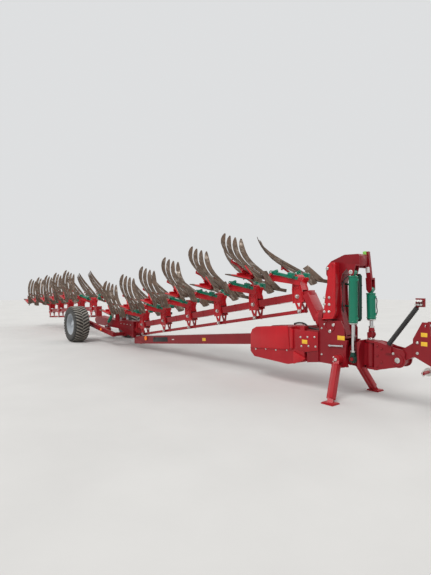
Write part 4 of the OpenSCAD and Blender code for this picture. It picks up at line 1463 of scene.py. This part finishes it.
@dataclass
class Studio:
    """Pale floor, soft lamps and the photograph's camera."""

    eye: Triple = (3.2625, -5.136, 1.530)
    look: Triple = (-0.7748, 0.6322, 0.0)
    focal_pixels: float = 410.0
    frame_pixels: tuple[int, int] = (431, 575)
    sensor: float = 36.0
    floor_side: float = 90.0
    floor_colour: Triple = (0.62, 0.61, 0.59)
    sky_colour: Triple = (0.87, 0.88, 0.89)
    lamps: tuple[tuple[str, float, float, float, float], ...] = (
        ("key_lamp", 52.0, 22.0, 1.9, 35.0), ("fill_lamp", 40.0, -70.0, 0.5, 60.0),
        ("rim_lamp", 35.0, 160.0, 0.7, 50.0))

    def build(self) -> None:
        """Lay the floor, light it and set the camera."""
        self.lay_floor()
        self.light()
        self.set_camera()

    def lay_floor(self) -> None:
        """Lay a wide matt floor just under the tyres."""
        mesh = bmesh.new()
        bmesh.ops.create_grid(mesh, x_segments=1, y_segments=1, size=self.floor_side / 2,
                              matrix=Matrix.Translation((0.0, 0.0, -0.0005)))
        data = bpy.data.meshes.new("floor")
        mesh.to_mesh(data)
        mesh.free()
        material = bpy.data.materials.new("pale_floor")
        material.use_nodes = True
        sheet = Sheet(material.node_tree)
        clouds = sheet.spread(sheet.noise(sheet.place(), 0.7, 6.0), 0.3, 0.7)
        colour = sheet.mix(clouds, shade(self.floor_colour, 0.93), self.floor_colour)
        sheet.feed(material.node_tree.nodes["Principled BSDF"], {"Base Color": colour, "Roughness": 0.9})
        data.materials.append(material)
        floor = bpy.data.objects.new("floor", data)
        bpy.context.scene.collection.objects.link(floor)

    def light(self) -> None:
        """Set a pale world and three wide, soft lamps far off."""
        world = bpy.data.worlds.new("studio")
        bpy.context.scene.world = world
        world.use_nodes = True
        sheet = Sheet(world.node_tree)
        seen = sheet.add("ShaderNodeLightPath").outputs["Is Camera Ray"]
        strength = sheet.math("ADD", sheet.times(seen, 0.24), 0.60)
        sheet.feed(world.node_tree.nodes["Background"], {"Color": self.sky_colour, "Strength": strength})
        for name, height, turn, power, spread in self.lamps:
            lamp = bpy.data.lights.new(name, "SUN")
            lamp.energy = power
            lamp.angle = math.radians(spread)
            holder = bpy.data.objects.new(name, lamp)
            holder.rotation_euler = (math.radians(90 - height), 0.0, math.radians(turn))
            bpy.context.scene.collection.objects.link(holder)

    def set_camera(self) -> None:
        """Stand the camera where the photograph was taken from."""
        scene = bpy.context.scene
        lens = bpy.data.cameras.new("photo_camera")
        lens.sensor_fit = "AUTO"
        lens.sensor_width = self.sensor
        lens.lens = self.focal_pixels / max(self.frame_pixels) * self.sensor
        camera = bpy.data.objects.new("photo_camera", lens)
        camera.location = at(*self.eye)
        camera.rotation_euler = Vector(self.look).to_track_quat("-Z", "Y").to_euler()
        scene.collection.objects.link(camera)
        scene.camera = camera
        scene.view_settings.view_transform = "Standard"


def lift_rams() -> list[LiftRam]:
    """Place the lift rams between their pins.

    Returns:
        The near one and the far one.
    """
    # The near ram's clevis takes the darkened ram green, which is painted shade.
    return [LiftRam("near", at(0.120, -0.150, 1.738), at(0.120, -0.150, 0.555), 0.060, 0.024, 0.050, 0.692,
                    PAINTED_SHADE_GREEN),
            LiftRam("far", at(0.205, 0.150, 1.500), at(0.220, 0.150, 0.880), 0.060, 0.026, 0.045, 0.409,
                    DEEP_RED)]


def main() -> None:
    """Build the studio and every sub-assembly in turn."""
    logging.basicConfig(level=logging.INFO, format="%(name)s: %(message)s")
    Studio().build()
    dress_packed_nodes()
    front, rear = slope_of(FRONT_PAIRS), slope_of(REAR_PAIRS)
    pairs = [BodyPair(k + 1, joint, front) for k, joint in enumerate(FRONT_PAIRS)]
    pairs += [BodyPair(k + 1 + len(FRONT_PAIRS), joint, rear) for k, joint in enumerate(REAR_PAIRS)]
    assemblies = [MainBeam(), ServiceHousing(), Tower(), Drawbar(), Carriage(),
                  FrameTube("front_frame", FRONT_PAIRS, "front_section", 0.228,
                            ((-0.552, 1.100), (-0.735, 1.430))),
                  FrameTube("rear_frame", REAR_PAIRS, "rear_section", 0.398),
                  *lift_rams(), *(FlotationWheel(side) for side in Side),
                  *(ParkingLeg(side) for side in Side), *pairs]
    for assembly in assemblies:
        for piece in assembly.build():
            log.info("%s rides on %s", piece.name, piece["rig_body"])


if __name__ == "__main__":
    main()
